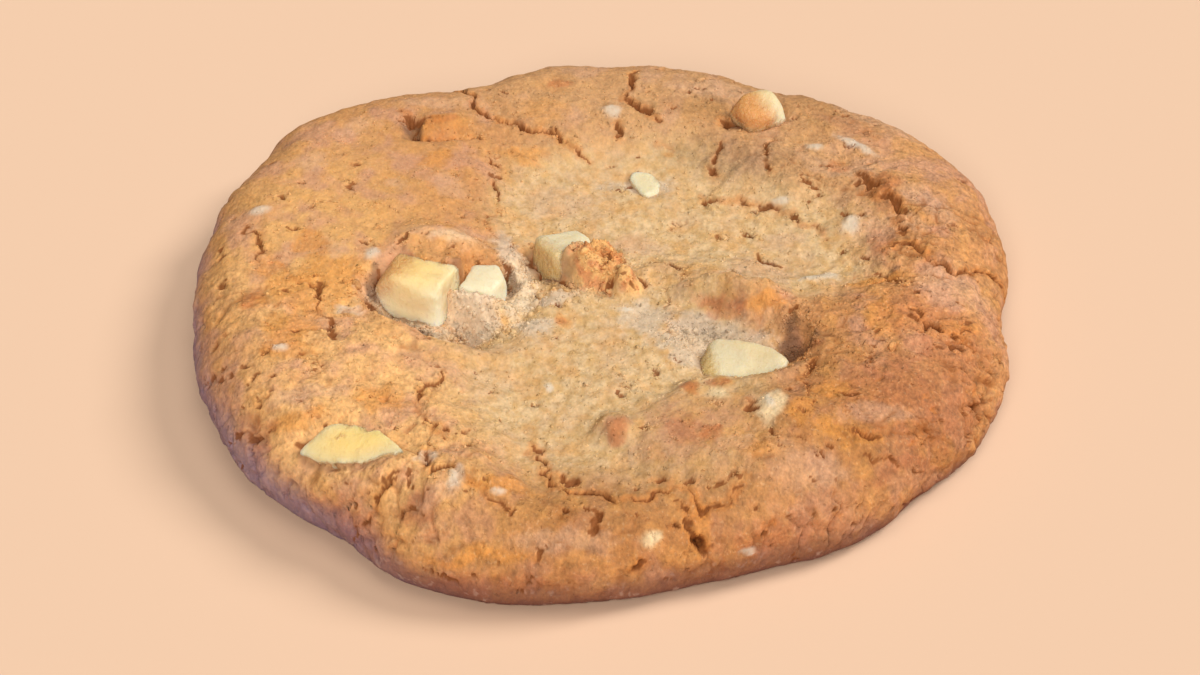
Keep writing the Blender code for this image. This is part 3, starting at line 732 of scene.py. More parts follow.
def wrapped_grid(cells):
    """A square grid pulled onto the flat sheet, and the corners along its edge in order."""
    side = np.linspace(-1, 1, cells + 1)
    x, y = (part.ravel() for part in np.meshgrid(side, side))
    wide = np.abs(x) > np.abs(y)
    reach = np.where(wide, x, y)
    other = np.where(wide, y, x)
    turn = np.pi / 4 * other / np.where(reach == 0, 1, reach)
    turn = np.where(wide, turn, np.pi / 2 - turn)
    reach = reach * (1 - EDGE_STRETCH) + EDGE_STRETCH * reach**5
    disc = np.stack([reach * np.cos(turn), reach * np.sin(turn)], axis=1)
    sheet = disc * sheet_edge(np.arctan2(disc[:, 1], disc[:, 0]))[:, None]
    row = cells + 1
    corner = np.arange(cells * row).reshape(cells, row)[:, :-1].ravel()
    faces = np.stack([corner, corner + 1, corner + row + 1, corner + row], axis=1)
    count = np.arange(cells)
    rim = np.concatenate(
        [count, cells + row * count, row * row - 1 - count, row * cells - row * count]
    )
    return sheet, faces, rim


# %% [markdown]
# The slits of the cracks are narrower than a cell. Making all cells that small would cost over a
# million faces, so only the cells beside a crack are divided, while the sheet is still flat.

# %% Finer cells beside the cracks
FINE_REACH = 0.36
PLAIN_EDGE = 1.5  # millimetres along the sole's edge where no cell is divided


def coordinates(mesh, name):
    """One vector for each point of a mesh, such as its place or its normal."""
    flat = np.zeros(len(mesh.vertices) * 3)
    mesh.vertices.foreach_get(name, flat)
    return flat.reshape(-1, 3)


def finer_sheet(sheet, faces):
    """The flat sheet with every cell beside a crack divided in four."""
    flat = bpy.data.meshes.new("flat_sheet")
    flat.from_pydata(np.column_stack([sheet, np.zeros(len(sheet))]).tolist(), [], faces.tolist())
    shape = bmesh.new()
    shape.from_mesh(flat)
    centre = sheet[faces].mean(axis=1)
    chosen = close_to_crack(*centre.T, FINE_REACH)
    chosen &= np.hypot(*centre.T) < sheet_edge(np.arctan2(centre[:, 1], centre[:, 0])) - PLAIN_EDGE
    shape.faces.ensure_lookup_table()
    edges = {edge for number in np.flatnonzero(chosen) for edge in shape.faces[number].edges}
    bmesh.ops.subdivide_edges(shape, edges=list(edges), cuts=1, use_grid_fill=True)
    shape.to_mesh(flat)
    shape.free()
    found = coordinates(flat, "co")[:, :2], [tuple(face.vertices) for face in flat.polygons]
    bpy.data.meshes.remove(flat)
    return found


sheet, cells, rim = wrapped_grid(GRID_CELLS)
print("the even grid has", len(cells), "cells")
sheet, top_faces = finer_sheet(sheet, cells)
print("with finer ones beside the cracks it has", len(top_faces))

# %% Lift the sheet into its form
points, outward, to_sole = plain_form(*sheet.T)
rise, masks = relief(*sheet.T, points)
skin = points + outward * (rise * np.clip(to_sole / UNDER_ARC, 0, 1))[:, None]
print("the skin has", len(skin), "points; the deepest dip is", round(rise.min(), 2), "mm")


# %% Close the sole
# The rings of the sole as shares of its edge, and those with half the points of the ring before.
SOLE_RINGS = (0.985, 0.95, 0.9, 0.84, 0.78, 0.72, 0.66, 0.6, 0.5, 0.4, 0.3, 0.2, 0.1)
HALVED = (0.985, 0.95, 0.5, 0.2)
DIMPLE = 0.12  # how deep the faint dimples of the sole are


def ring_strip(outer, inner):
    """Faces between two rings, where the inner one has as many points or half as many."""
    count = len(inner)
    if len(outer) == count:
        return [
            (outer[(i + 1) % count], outer[i], inner[i], inner[(i + 1) % count])
            for i in range(count)
        ]
    faces = []
    for i in range(count):
        a, b, c = outer[2 * i], outer[2 * i + 1], outer[(2 * i + 2) % len(outer)]
        here, after = inner[i], inner[(i + 1) % count]
        faces += [(b, a, here), (b, here, after), (c, b, after)]
    return faces


def sole(rim_points, first):
    """Points and faces that close the underside; the new points are numbered from first."""
    rings, faces, made = [rim.tolist()], [], []
    count = len(rim_points)
    for share in SOLE_RINGS:
        if share in HALVED:
            count //= 2
        ring = rim_points[:: len(rim_points) // count] * share
        ring[:, 2] = DIMPLE * (1 + lumpy(ring, 3.0, 51)) * min(1, (1 - share) * 20)
        rings.append(list(range(first, first + count)))
        faces += ring_strip(rings[-2], rings[-1])
        made.append(ring)
        first += count
    made.append(np.array([[0, 0, 0.1]]))
    last = rings[-1]
    faces += [(last[(i + 1) % count], last[i], first) for i in range(count)]
    return np.concatenate(made), faces


sole_points, sole_faces = sole(skin[rim], len(skin))
print("the sole adds", len(sole_points), "points")


# %% Make the cookie's mesh
def mesh_object(name, corners, faces):
    """An object from corners in millimetres."""
    mesh = bpy.data.meshes.new(name)
    mesh.from_pydata((corners * MM).tolist(), [], faces)
    mesh.shade_smooth()
    made = bpy.data.objects.new(name, mesh)
    bpy.context.scene.collection.objects.link(made)
    return made


def keep_value(thing, name, values):
    """Store one number for each point, for a material to read."""
    values = np.resize(values, len(thing.data.vertices)).astype(np.float32)
    thing.data.attributes.new(name, "FLOAT", "POINT").data.foreach_set("value", values)


corners = np.clip(np.concatenate([skin, sole_points]), low, high)
cookie = mesh_object("baked_cookie", corners, top_faces + sole_faces)
print("the cookie has", len(cookie.data.polygons), "faces")

# %% [markdown]
# ## Where the skin is browned, pale or mealy
#
# The colour of a cookie tells how hot each place got. The high rim browned most, the wet sunk middle
# stayed pale, torn dough shows its amber inside, and flour and sugar left a greyish or rosy bloom.
# Each of these is a mask: one number for each point of the mesh, made from soft ellipses whose edges
# are broken up by noise. The material turns them into colour later. Two masks only change how light
# the skin is, and both are partly painted: fair ground and slopes turned from the key light a little
# up as painted light, and darker ground and deep hollows a little down as painted shade. Three tones
# carry painted light and shade too: one paints shadow in holes and gaps, and the floury and sunny
# tones are partly painted light on ground in shade.

# %% Places of each tone: u, v, half length, half width, turn
TONES = {
    "bloom": [
        (-16.9, 15.4, 2.2, 2.6, 30), (-22.8, 15.1, 1.6, 1.5, 0), (-15.1, 6.6, 1.2, 1.7, 0),
        (-18.6, 5.4, 3.4, 1.5, -10), (-27.6, 26.0, 2.6, 1.6, 30), (4.1, 7.0, 3.9, 1.6, 0),
        (19.1, 7.8, 2.4, 1.6, 0),
        (16.6, 1.7, 3.7, 2.4, -30), (-32.4, 19.1, 2.3, 1.8, 0), (-19.6, 31.3, 4.6, 1.3, 0),
        (13.4, 34.0, 5.9, 1.8, -8), (26.3, 18.3, 4.4, 1.4, -30), (35.6, 11.3, 2.0, 4.0, 30),
        (27.6, -24.4, 4.8, 1.5, 14), (-4.1, -41.5, 5.8, 1.3, 0), (-15.6, -37.0, 2.9, 1.0, 0),
        (10.2, -7.4, 3.0, 1.4, 0), (-28.1, 2.2, 1.3, 1.8, 0), (13.7, -29.5, 2.5, 1.6, 0),
        (-14.0, -4.6, 2.1, 0.9, 0), (31.1, 7.9, 3.4, 1.9, -20), (36.9, -3.6, 4.4, 4.2, 0),
        (20, -32, 5, 2.5, 10), (-30, -22, 4, 1.2, 10), (-5.2, 14.6, 4.5, 4, 0), (31, 30, 7, 2.5, -45),
    ],
    "amber": [
        (-18.0, 26.4, 3.6, 1.9, 8), (-18.6, 20.1, 1.8, 1.6, 0), (-31.0, 4.6, 1.6, 2.5, 20),
        (-36.7, -6.0, 1.4, 1.8, 0), (-5.0, 35.1, 2.5, 2.0, 0), (6.8, 24.2, 1.0, 0.6, -20),
        (29.5, -8.1, 2.2, 4.1, 0), (17.0, -6.2, 2.2, 0.9, -13), (20.1, -25.4, 1.6, 2.2, 0),
        (14.6, -30.5, 3.6, 1.6, 0), (9.2, -19.6, 1.0, 1.4, 0), (12.2, -19.4, 1.4, 1.3, 0),
        (-0.4, 3.1, 2.3, 2.4, 0), (2.4, 0.4, 1.4, 1.2, 0), (29.5, -1.2, 3.3, 1.1, 0),
        (-4.6, -6.2, 1.0, 1.5, 0), (9.4, -39.3, 1.6, 3.5, 10),
        (-6.5, 30.0, 2.8, 2.6, 0), (-31.1, -24.6, 3.2, 1.2, 10), (-10.2, -35.3, 4.1, 1.2, 0),
        (-32.4, -11.6, 3.0, 4.2, 0), (36.9, -10.5, 1.7, 1.7, 0), (23.0, -20.9, 2.5, 2.0, 0),
        (-12.1, -43.1, 6.2, 1.1, 0), (-34.6, -2.5, 2.1, 5.5, 20), (-22.5, -22.0, 3.0, 2.2, 0),
        (-9.4, 22.6, 3.3, 1.6, 0), (24.6, -27.1, 3.0, 1.6, 0), (-30, -3, 5, 6, 0),
        (11.5, 30, 3.5, 2.5, 0),
    ],
    "toast": [
        (-36.7, -5.5, 1.1, 1.8, 0), (-5.0, 35.4, 2.0, 1.8, 0), (7.3, 30.3, 1.5, 2.3, 0),
        (27.3, 27.0, 5.4, 2.0, -40), (31.0, 13.6, 2.4, 3.0, 20), (35.8, -14.0, 4.4, 7.5, 0),
        (12.6, -5.1, 2.8, 0.7, -13), (1.3, -26.0, 1.6, 1.9, 0),
        (8.7, -26.5, 2.2, 3.4, 0), (10.6, -27.8, 0.9, 1.8, 0), (9.0, -19.4, 1.1, 1.2, 0),
        (12.1, -19.3, 1.5, 1.0, 0), (-0.6, 3.4, 2.2, 2.2, 0), (-21.4, 1.6, 1.6, 0.9, 0),
        (-12.6, -46.0, 10.1, 1.8, 0), (-35.9, -24.9, 3.3, 2.6, -40), (-27.1, -36.2, 4.4, 2.4, -30),
        (29.8, -30.0, 5.2, 1.4, 35), (37.7, -20.6, 3.0, 3.2, 0), (-17.7, -37.7, 3.1, 1.6, 0),
        (18.0, -39.6, 7.2, 2.6, 15), (30.5, 5.4, 2.1, 3.0, 0), (31, -22, 8, 7, 0), (34, -8, 6, 5, 0),
    ],
    # Painted shadow in holes and gaps beside the chunks and in cracks.
    "hole_shadow": [
        (20.4, -10.6, 2.0, 3.2, 20), (-23.9, -2.6, 0.8, 2.4, 0), (-21, -6.6, 3.4, 0.7, -25),
        (-21.6, 26.4, 1.2, 1.9, -10), (14.7, 27.6, 1.2, 1.0, 0), (-5.3, 0.4, 0.8, 2.0, 20),
        (-9.9, 1.4, 0.7, 1.8, 0),
    ],
    "scorched": [
        (-0.2, 2.6, 1.3, 1.0, 15), (12.6, -5.1, 2.8, 0.75, -13), (9.0, -19.4, 1.2, 0.8, 0),
        (12.2, -19.4, 1.6, 0.6, 0), (10.6, -27.9, 1.0, 1.3, 0), (1.4, -26.9, 1.1, 1.5, 0),
        (-18.4, 27.0, 2.8, 1.0, 8), (17.5, 29.6, 1.9, 1.6, 0), (-5.0, 35.4, 1.6, 1.2, 0),
        (31.0, 14.4, 1.4, 2.0, 20), (26.5, 19.5, 1.6, 1.0, 0), (-36.5, -5.0, 0.9, 1.6, 0),
        (20.6, -12.0, 1.2, 2.6, 20), (-4.6, -6.2, 0.7, 0.9, 0),
    ],
    "tan": [(8, 32, 26, 9, -8), (20, 20, 12, 8, -20)],
    "cream": [(16.9, -24.6, 1.3, 2.3, 8), (12.0, -21.2, 1.2, 0.9, 0), (5.2, -40.5, 0.8, 0.8, 0)],
    "glazed": [(-0.9, 2.0, 2.7, 3.2, 10), (2.4, -0.6, 1.8, 1.6, 0)],
    # Pale floury ground, partly its own colour and partly painted light where the chunks shade the sunk
    # middle.
    "floury_and_lit": [
        (-8.9, -0.6, 2.4, 5.4, -8), (-15.2, -4.4, 2.4, 2.0, 0), (-15.8, 4.0, 2.8, 1.5, -10),
        (-19.6, -6.0, 5.0, 1.2, -22),
    ],
    # Lighter ground, and painted light on slopes turned from the key light, such as the front of the
    # hump behind the large chunk.
    "fair_and_lit": [
        (35, -8, 4.5, 7, 0), (15.3, -2.0, 3.5, 1.2, -13), (-16, 3.8, 4, 2.4, -10),
        (12.2, -27.9, 2.6, 2.4, 0), (-15.2, -4.4, 2.6, 2.2, 0), (-9.1, -1.2, 2.2, 4.2, -8),
        (17.4, -5.4, 2.0, 1.2, -13),
    ],
    "deep": [(26, -25, 12, 9, 25), (0, -38, 15, 6, 0), (22, 33, 9, 6, -25)],
    # Darker ground at the back, and painted shade in the hollow under the ledge.
    "gloom_and_shade": [(12.0, -7.6, 5.0, 1.1, -13), (15.5, 21.5, 8, 3.5, -20), (11.7, 30.5, 3.5, 2.5, 0)],
    # Lighter golden crust on the near left, partly its own colour and partly painted light on slopes
    # turned from the key light.
    "sunny_and_painted_light": [(-22, -19, 12, 11, 0), (-31, -26, 8, 6, -30), (-30, -3, 8, 6, 0), (-18, -33, 8, 5, -15)],
    "golden": [(-31, 4, 12, 18, 0), (-22, -22, 13, 14, 0), (-14, -38, 7, 5, 10)],
    "mealy": [
        (-8.9, -0.4, 2.2, 5.2, 0), (-12.6, -7.2, 2.6, 2.2, 0),
        (4.1, -6.0, 2.6, 3.5, 0), (11.5, -9.4, 7.0, 3.2, -8), (-4.6, -2.4, 2.6, 1.3, 0),
        (-20.2, -5.6, 5.0, 2.0, -20), (-14.2, -4.6, 3.4, 3.2, 0),
        (-26.5, -7.8, 1.6, 0.9, 0), (-10.0, 4.6, 1.9, 3.4, 0), (4.1, 17.8, 3.4, 1.6, 0),
        (-18.0, -31.8, 1.1, 0.8, 0), (9.0, -12.7, 2.4, 2.0, 0), (-7.1, -8.1, 2.0, 1.9, 0),
    ],
}


def tone(name, u, v, points, seed):
    """A mask for one tone, with an edge broken up by noise."""
    stray_u = u + 1.0 * lumpy(points, 3.0, seed) + 0.45 * lumpy(points, 1.1, seed + 1)
    stray_v = v + 1.0 * lumpy(points, 3.0, seed + 2) + 0.45 * lumpy(points, 1.1, seed + 3)
    return np.maximum.reduce([mound(stray_u, stray_v, place, 3) for place in TONES[name]])


for seed, name in enumerate(TONES):
    masks[name] = tone(name, *sheet.T, points, 70 + 10 * seed)
print("the tones are", ", ".join(TONES))

# %% [markdown]
# Three masks follow the form instead. The crust covers all that didn't sink, and most of the lump in
# front of the middle. The foot of the side gets painted shade, darker and duller than the rest, and
# on the left this band of painted shade is higher and more grey.

# %% Crust, and painted shade on the foot of the side
BROWNED_LUMP = (10.5, -26.5, 8.5, 6.5, 0)
BROWNED_LUMP_CRUST = 0.68
# Height of the band of painted shade and what each side adds, then the height over which it fades.
SHADE_TOP, SHADE_TOP_LEFT, SHADE_TOP_RIGHT = 5.2, 3.0, -1.4
SHADE_FADE, SHADE_FADE_LEFT = 2.6, 2.0
# The lower band is painted shade too, darkest at the very foot and weaker on the left.
LOW_SHADE_TOP, LOW_SHADE_FADE = 2.6, 1.8  # a lower band inside it
LEFT_FROM, LEFT_FADE = 14, 22  # how far out the left starts, and over how much it comes in
RIGHT_FROM, RIGHT_FADE = 20, 20
# On the sole, crust and toast stand for browning on the tray, and shade is painted shade.
ON_SOLE = {"crust": 1.0, "toast": 1.0, "shade": 0.6}  # masks of the sole, which browned on the tray

browned_lump = BROWNED_LUMP_CRUST * mound(*sheet.T, BROWNED_LUMP, 4)
masks["crust"] = np.maximum(1 - masks["sunk"], browned_lump) * (0.9 + 0.1 * lumpy(points, 7, 61))
leftward = ease((-sheet[:, 0] - LEFT_FROM) / LEFT_FADE)
rightward = ease((sheet[:, 0] - RIGHT_FROM) / RIGHT_FADE)
shade_top = SHADE_TOP + SHADE_TOP_LEFT * leftward + SHADE_TOP_RIGHT * rightward
masks["leftward"] = leftward
masks["shade"] = 0.7 * ease((shade_top - skin[:, 2]) / (SHADE_FADE + SHADE_FADE_LEFT * leftward))
masks["shade"] += 0.3 * ease((LOW_SHADE_TOP - skin[:, 2]) / LOW_SHADE_FADE) * (1 - 0.6 * leftward)

for name, values in masks.items():
    below = np.full(len(sole_points), ON_SOLE.get(name, 0.0))
    keep_value(cookie, name, np.concatenate([values, below]))
keep_value(cookie, "lift", 0.0)
print("masks:", ", ".join(f"{name} {values.mean():.2f}" for name, values in masks.items()))


# %% [markdown]
# ## A way to write materials as sums
#
# A material is a network of nodes. Wiring one by hand takes a line for each node and each wire, which
# hides the idea. A small class can wrap a node's output and stand for its value in a formula, so that
# `1 - mask` or `grain * 0.3 + mask` makes the Math nodes by itself. A second class stands for the
# whole material and makes every other node, such as noise, in one line.

# %% Values of a material as Python expressions
class Value:
    """An output of a node that takes part in sums; each operator adds a Math node."""

    def __init__(self, finish, socket):
        self.finish, self.socket = finish, socket

    def math(self, operation, one, other):
        settings = {"operation": operation}
        return self.finish.node("ShaderNodeMath", "Value", settings, {0: one, 1: other})

    def __add__(self, other):
        return self.math("ADD", self, other)

    def __sub__(self, other):
        return self.math("SUBTRACT", self, other)

    def __rsub__(self, other):
        return self.math("SUBTRACT", other, self)

    def __mul__(self, other):
        return self.math("MULTIPLY", self, other)

    __radd__ = __add__
    __rmul__ = __mul__

    def between(self, start, end):
        """0 up to start, 1 from end on, and a smooth step between."""
        settings = {"interpolation_type": "SMOOTHSTEP"}
        sockets = {"Value": self, "From Min": start, "From Max": end}
        return self.finish.node("ShaderNodeMapRange", "Result", settings, sockets)


# %% A material that is being written
GRAIN_STRETCH = 0.78  # draws grain out in y and z, so that it doesn't look squashed at a slant


class Finish:
    """A material that is being written."""

    def __init__(self, name):
        self.material = bpy.data.materials.new(name)
        self.material.use_nodes = True
        self.tree = self.material.node_tree
        self.shader = self.tree.nodes["Principled BSDF"]
        space = self.node("ShaderNodeTexCoord", "Object", {}, {})
        sockets = {0: space, 1: (1 / MM, GRAIN_STRETCH / MM, GRAIN_STRETCH / MM)}
        multiply = {"operation": "MULTIPLY"}
        self.place = self.node("ShaderNodeVectorMath", "Vector", multiply, sockets)

    def node(self, kind, output, settings, sockets):
        """Any node: its settings first, then numbers or wires for its sockets."""
        made = self.tree.nodes.new(kind)
        for name, setting in settings.items():
            setattr(made, name, setting)
        for key, given in sockets.items():
            self.feed(self.find(made.inputs, key), given)
        return Value(self, self.find(made.outputs, output))

    def find(self, sockets, key):
        """A socket by its number or name; of several with one name, the one in use."""
        if isinstance(key, int):
            return sockets[key]
        return [socket for socket in sockets if socket.name == key and socket.enabled][0]

    def feed(self, socket, given):
        """Put a number in a socket, or a wire into it."""
        if isinstance(given, Value):
            self.tree.links.new(given.socket, socket)
        elif isinstance(given, tuple) and len(given) == 3 and socket.type == "RGBA":
            socket.default_value = (*given, 1)
        else:
            socket.default_value = given

    def mask(self, name):
        """A number stored on the mesh."""
        return self.node("ShaderNodeAttribute", "Fac", {"attribute_name": name}, {})

    def grain(self, size, detail=2.0, rough=0.5):
        """Soft noise from about 0 to 1, with lumps of the given size in millimetres."""
        sockets = {"Vector": self.place, "Scale": 1 / size, "Detail": detail, "Roughness": rough}
        return self.node("ShaderNodeTexNoise", "Fac", {}, sockets)

    def warped(self, size, reach):
        """The place in millimetres, pulled about by noise."""
        sockets = {"Vector": self.place, "Scale": 1 / size, "Detail": 2.0}
        noise = self.node("ShaderNodeTexNoise", "Color", {}, sockets)
        sockets = {0: noise, 1: (reach, reach, reach), 2: self.place}
        return self.node("ShaderNodeVectorMath", "Vector", {"operation": "MULTIPLY_ADD"}, sockets)

    def mix(self, share, one, other):
        """One colour, with a share of another."""
        settings = {"data_type": "RGBA", "clamp_factor": True}
        sockets = {0: share, "A": one, "B": other}
        return self.node("ShaderNodeMix", "Result", settings, sockets)

    def glaze(self, colour, layers):
        """A colour under thin layers, each a share and a colour, the lowest first."""
        for share, tint in layers:
            colour = self.mix(share, colour, tint)
        return colour

    def darkened(self, colour, share):
        """A colour times a number, which keeps its hue."""
        settings = {"data_type": "RGBA", "blend_type": "MULTIPLY"}
        return self.node("ShaderNodeMix", "Result", settings, {0: 1.0, "A": colour, "B": share})

    def bump(self, height, depth):
        """Small relief, given in millimetres."""
        sockets = {"Height": height, "Strength": 1.0, "Distance": depth * MM}
        return self.node("ShaderNodeBump", "Normal", {}, sockets)

    def set(self, **values):
        """Numbers and wires for the shader, with _ in place of a space."""
        for name, given in values.items():
            self.feed(self.shader.inputs[name.replace("_", " ")], given)


def srgb(red, green, blue):
    """A colour as picked from a picture, turned into light."""
    return tuple(
        part / 12.92 if part <= 0.04045 else ((part + 0.055) / 1.055) ** 2.4
        for part in (red / 255, green / 255, blue / 255)
    )


print("a golden crust in linear light:", np.round(srgb(224, 166, 100), 3))

# %% [markdown]
# ## The baked skin
#
# The skin is a stack of tones, from the pale middle up to the dark inside of a crack, which is partly
# painted shade. Each step of the stack mixes in one colour by one mask. Noise is added to each mask
# before it is used, so that the edges of the patches are grainy, as they are where single crumbs took
# more or less heat.

# %% Grain of the dough
dough = Finish("baked_dough")
fine = dough.grain(0.3, 2.0, 0.5)
coarse = dough.grain(1.1, 2.0, 0.55)
wide = dough.grain(4.5, 2.0, 0.5)
lumps = dough.grain(0.75, 1.0, 0.4)
rosy = dough.grain(4.2, 2.0, 0.5).between(0.46, 0.64)
honey = dough.grain(2.5, 1.0, 0.5).between(0.5, 0.66)
speck = dough.grain(0.36, 1.0, 0.5).between(0.62, 0.74)

# Rounded grains with creases between them, and scattered pits.
GRAIN_SIZE = 0.62
sockets = {"Vector": dough.warped(0.8, 0.45), "Scale": 1 / GRAIN_SIZE}
grain_gap = dough.node("ShaderNodeTexVoronoi", "Distance", {}, sockets)
rounded = 1 - grain_gap * grain_gap
crease_shade = grain_gap.between(0.5, 0.85)
pit = 1 - (dough.grain(GRAIN_SIZE, 3.0, 0.6) + (wide - 0.5) * 0.25).between(0.25, 0.36)
rough_skin = dough.mask("rough")
print("grain and pits take", len(dough.tree.nodes), "nodes")

# %% Masks with grainy edges
break_up = (fine - 0.5) * 0.12 + (coarse - 0.5) * 0.9


def patch(name, start, end, broken=1.0, drift=0.0):
    """A mask of the mesh, its edge broken by grain and, with drift, pushed about by wide noise."""
    mask = dough.mask(name) + break_up * broken
    if drift:
        mask = mask + (wide - 0.5) * drift
    return mask.between(start, end)


crust = patch("crust", 0.1, 0.95, 0.5)
toast = patch("toast", 0.3, 1.1, 1.0, 0.6)
amber = patch("amber", 0.3, 1.0, 0.8, 0.5)
bloom = patch("bloom", 0.3, 1.0, 0.8)
mealy = patch("mealy", 0.25, 0.95)
floury_and_lit = patch("floury_and_lit", 0.2, 0.95)
glazed = patch("glazed", 0.2, 0.9)
scorched = patch("scorched", 0.25, 0.95)
torn = patch("torn", 0.25, 1.0)
hole_shadow = patch("hole_shadow", 0.25, 0.95, 0.7)
gloom_and_shade = patch("gloom_and_shade", 0.1, 1.0, 0.3)
cream = patch("cream", 0.1, 1.1, 0.6)
chip = patch("chip", 0.15, 1.1, 0.8)
crack_dark_and_shade = (dough.mask("crack_dark_and_shade") + (fine - 0.5) * 0.3).between(0.1, 1.0)
contact_shadow = (dough.mask("contact_shadow") + (fine - 0.5) * 0.5).between(0.3, 0.9)
shade = dough.mask("shade")
print("with the masks there are", len(dough.tree.nodes))

# %% Colours of the dough
pale_middle = dough.mix(coarse.between(0.3, 0.7), srgb(206, 164, 108), srgb(222, 186, 138))
crust_colour = dough.mix(wide.between(0.3, 0.7), srgb(196, 132, 76), srgb(204, 142, 88))
crust_colour = dough.glaze(crust_colour, [
    (dough.mask("golden"), srgb(224, 166, 100)),
    # lighter golden crust, partly painted light
    (dough.mask("sunny_and_painted_light") * 0.8, srgb(240, 182, 116)),
    (coarse.between(0.4, 0.75) * 0.4, srgb(190, 128, 80)),
])
glaze_colour = dough.mix(coarse.between(0.45, 0.6), srgb(246, 184, 112), srgb(222, 138, 78))
colour = dough.glaze(pale_middle, [
    (crust * 0.95, crust_colour),
    (rosy * (0.15 + crust * 0.45), srgb(200, 144, 114)),
    (dough.mask("deep") * 0.6, srgb(164, 102, 44)),
    (honey * 0.3, srgb(220, 156, 84)),
    (amber * 0.6, srgb(216, 142, 62)),
    (toast * 0.6, srgb(178, 108, 68)),
    (dough.mask("tan") * 0.4, srgb(208, 168, 120)),
    (bloom * 0.4, srgb(208, 164, 130)),
    (mealy * 0.68, srgb(210, 187, 160)),
    (floury_and_lit * 0.35, srgb(230, 205, 166)),
    # pale floury colour, partly painted light on shaded ground
    (cream * 0.75, srgb(242, 214, 166)),
    (glazed * 0.7, glaze_colour),
    (scorched * 0.5, srgb(190, 112, 60)),
    (torn * 0.5, srgb(198, 120, 50)),
    (speck * 0.18, srgb(236, 194, 146)),
])
print("with the colours there are", len(dough.tree.nodes))

# %% [markdown]
# Then the colour is multiplied by a mottle of light and shade. It paints shade into creases and into
# the hollows of the small lumps and light onto their tops, adds the painted light and shade of the
# fair and gloom masks, and makes loose crumbs a little lighter or darker by chance. The last layers
# lie over it: painted shade on the foot of the side, the bits of chocolate, painted contact shadow
# round the chunks, painted shadow in holes, and the dark of cracks, which is partly painted shade.

# %% Mottle of light and shade, and the layers over it
# Painted shade in creases and in the low parts of the small lumps, painted light on their tops, and
# random tone.
light_and_shade_mottle = (fine * 0.65 + lumps * 0.6 - 0.625 - crease_shade * 0.08) * (0.35 + rough_skin * 0.75) + 0.93
light_and_shade_mottle = light_and_shade_mottle + dough.mask("fair_and_lit") * 0.15 - gloom_and_shade * 0.2 + dough.mask("lift") * 0.16
# Painted shade on the foot of the side: a dark brown in front and a cool grey on the left.
painted_shade_colour = dough.mix(dough.mask("leftward"), srgb(104, 64, 62), srgb(98, 98, 138))
colour = dough.glaze(dough.darkened(colour, light_and_shade_mottle), [
    # pits are darkened in colour too, as painted shade in them
    (pit * rough_skin * 0.18, srgb(150, 94, 48)),
    # painted shade on the foot of the side, with paler flakes in it
    (shade * 0.9, painted_shade_colour),
    (shade * coarse.between(0.58, 0.7) * 0.5, srgb(196, 164, 146)),
    (chip * 0.68, srgb(214, 200, 178)),
    # painted contact shadow round the chunks' seats
    (contact_shadow * 0.5, srgb(120, 78, 50)),
    # painted shadow in holes and gaps
    (hole_shadow * 0.72, srgb(108, 76, 54)),
    # dark colour and painted shade inside cracks and grooves
    (crack_dark_and_shade * 0.85, srgb(128, 70, 26)),
])

# %% Relief too fine for the mesh, and the dough's sheen
relief_height = rounded * 0.16 + fine * 0.35 + lumps * 0.7 - pit * 0.3
dough.set(
    Base_Color=colour,
    Roughness=0.8 + (fine - 0.5) * 0.2,
    Specular_IOR_Level=0.25,
    Subsurface_Weight=0.12,
    Subsurface_Radius=(1.0, 0.6, 0.35),
    Subsurface_Scale=1.0 * MM,
    Normal=dough.bump(relief_height * (0.3 + rough_skin * 0.7), 0.3),
)
cookie.data.materials.append(dough.material)
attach(cookie, "root")
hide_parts("cookie_body")
print("the dough's finish has", len(dough.tree.nodes), "nodes")

# %% [markdown]
# ## Loose crumbs
#
# Where dough tore it left crumbs, and fine ones lie over most of the top. A particle system could
# scatter them, but it isn't part of the mesh. Here each crumb is a ball of a few faces, pulled out
# of shape by noise and about half sunk in the skin. It takes over all masks of the skin under it,
# painted light and shade too, but the dark and painted shade of the cracks, so it wears the same
# colour, a little lighter or darker by chance.

# %% Scatter the crumbs
# How many, the smallest and largest radius in millimetres, how finely the ball is divided, how much
# more of them lie on crumbly ground, and the seed.
CRUMB_KINDS = {"grains": (6500, 0.12, 0.28, 1, 3, 81), "lumps": (170, 0.25, 0.6, 2, 60, 82)}
ANYWHERE = 0.25  # chance of a crumb on whole ground
CLEAR_OF_SOLE = 14  # millimetres along the skin
CRUMB_SIZES = (1.3, 3.5)  # shape of the draw, which favours small ones
CRUMB_STRETCH = (1.3, 0.95, 0.7)
CRUMB_SINK = -0.3  # of its radius


def ball(divisions):
    """Corners and faces of a round ball of triangles."""
    shape = bmesh.new()
    bmesh.ops.create_icosphere(shape, subdivisions=divisions, radius=1)
    corners = np.array([vertex.co for vertex in shape.verts])
    faces = np.array([[vertex.index for vertex in face.verts] for face in shape.faces])
    shape.free()
    return corners, faces


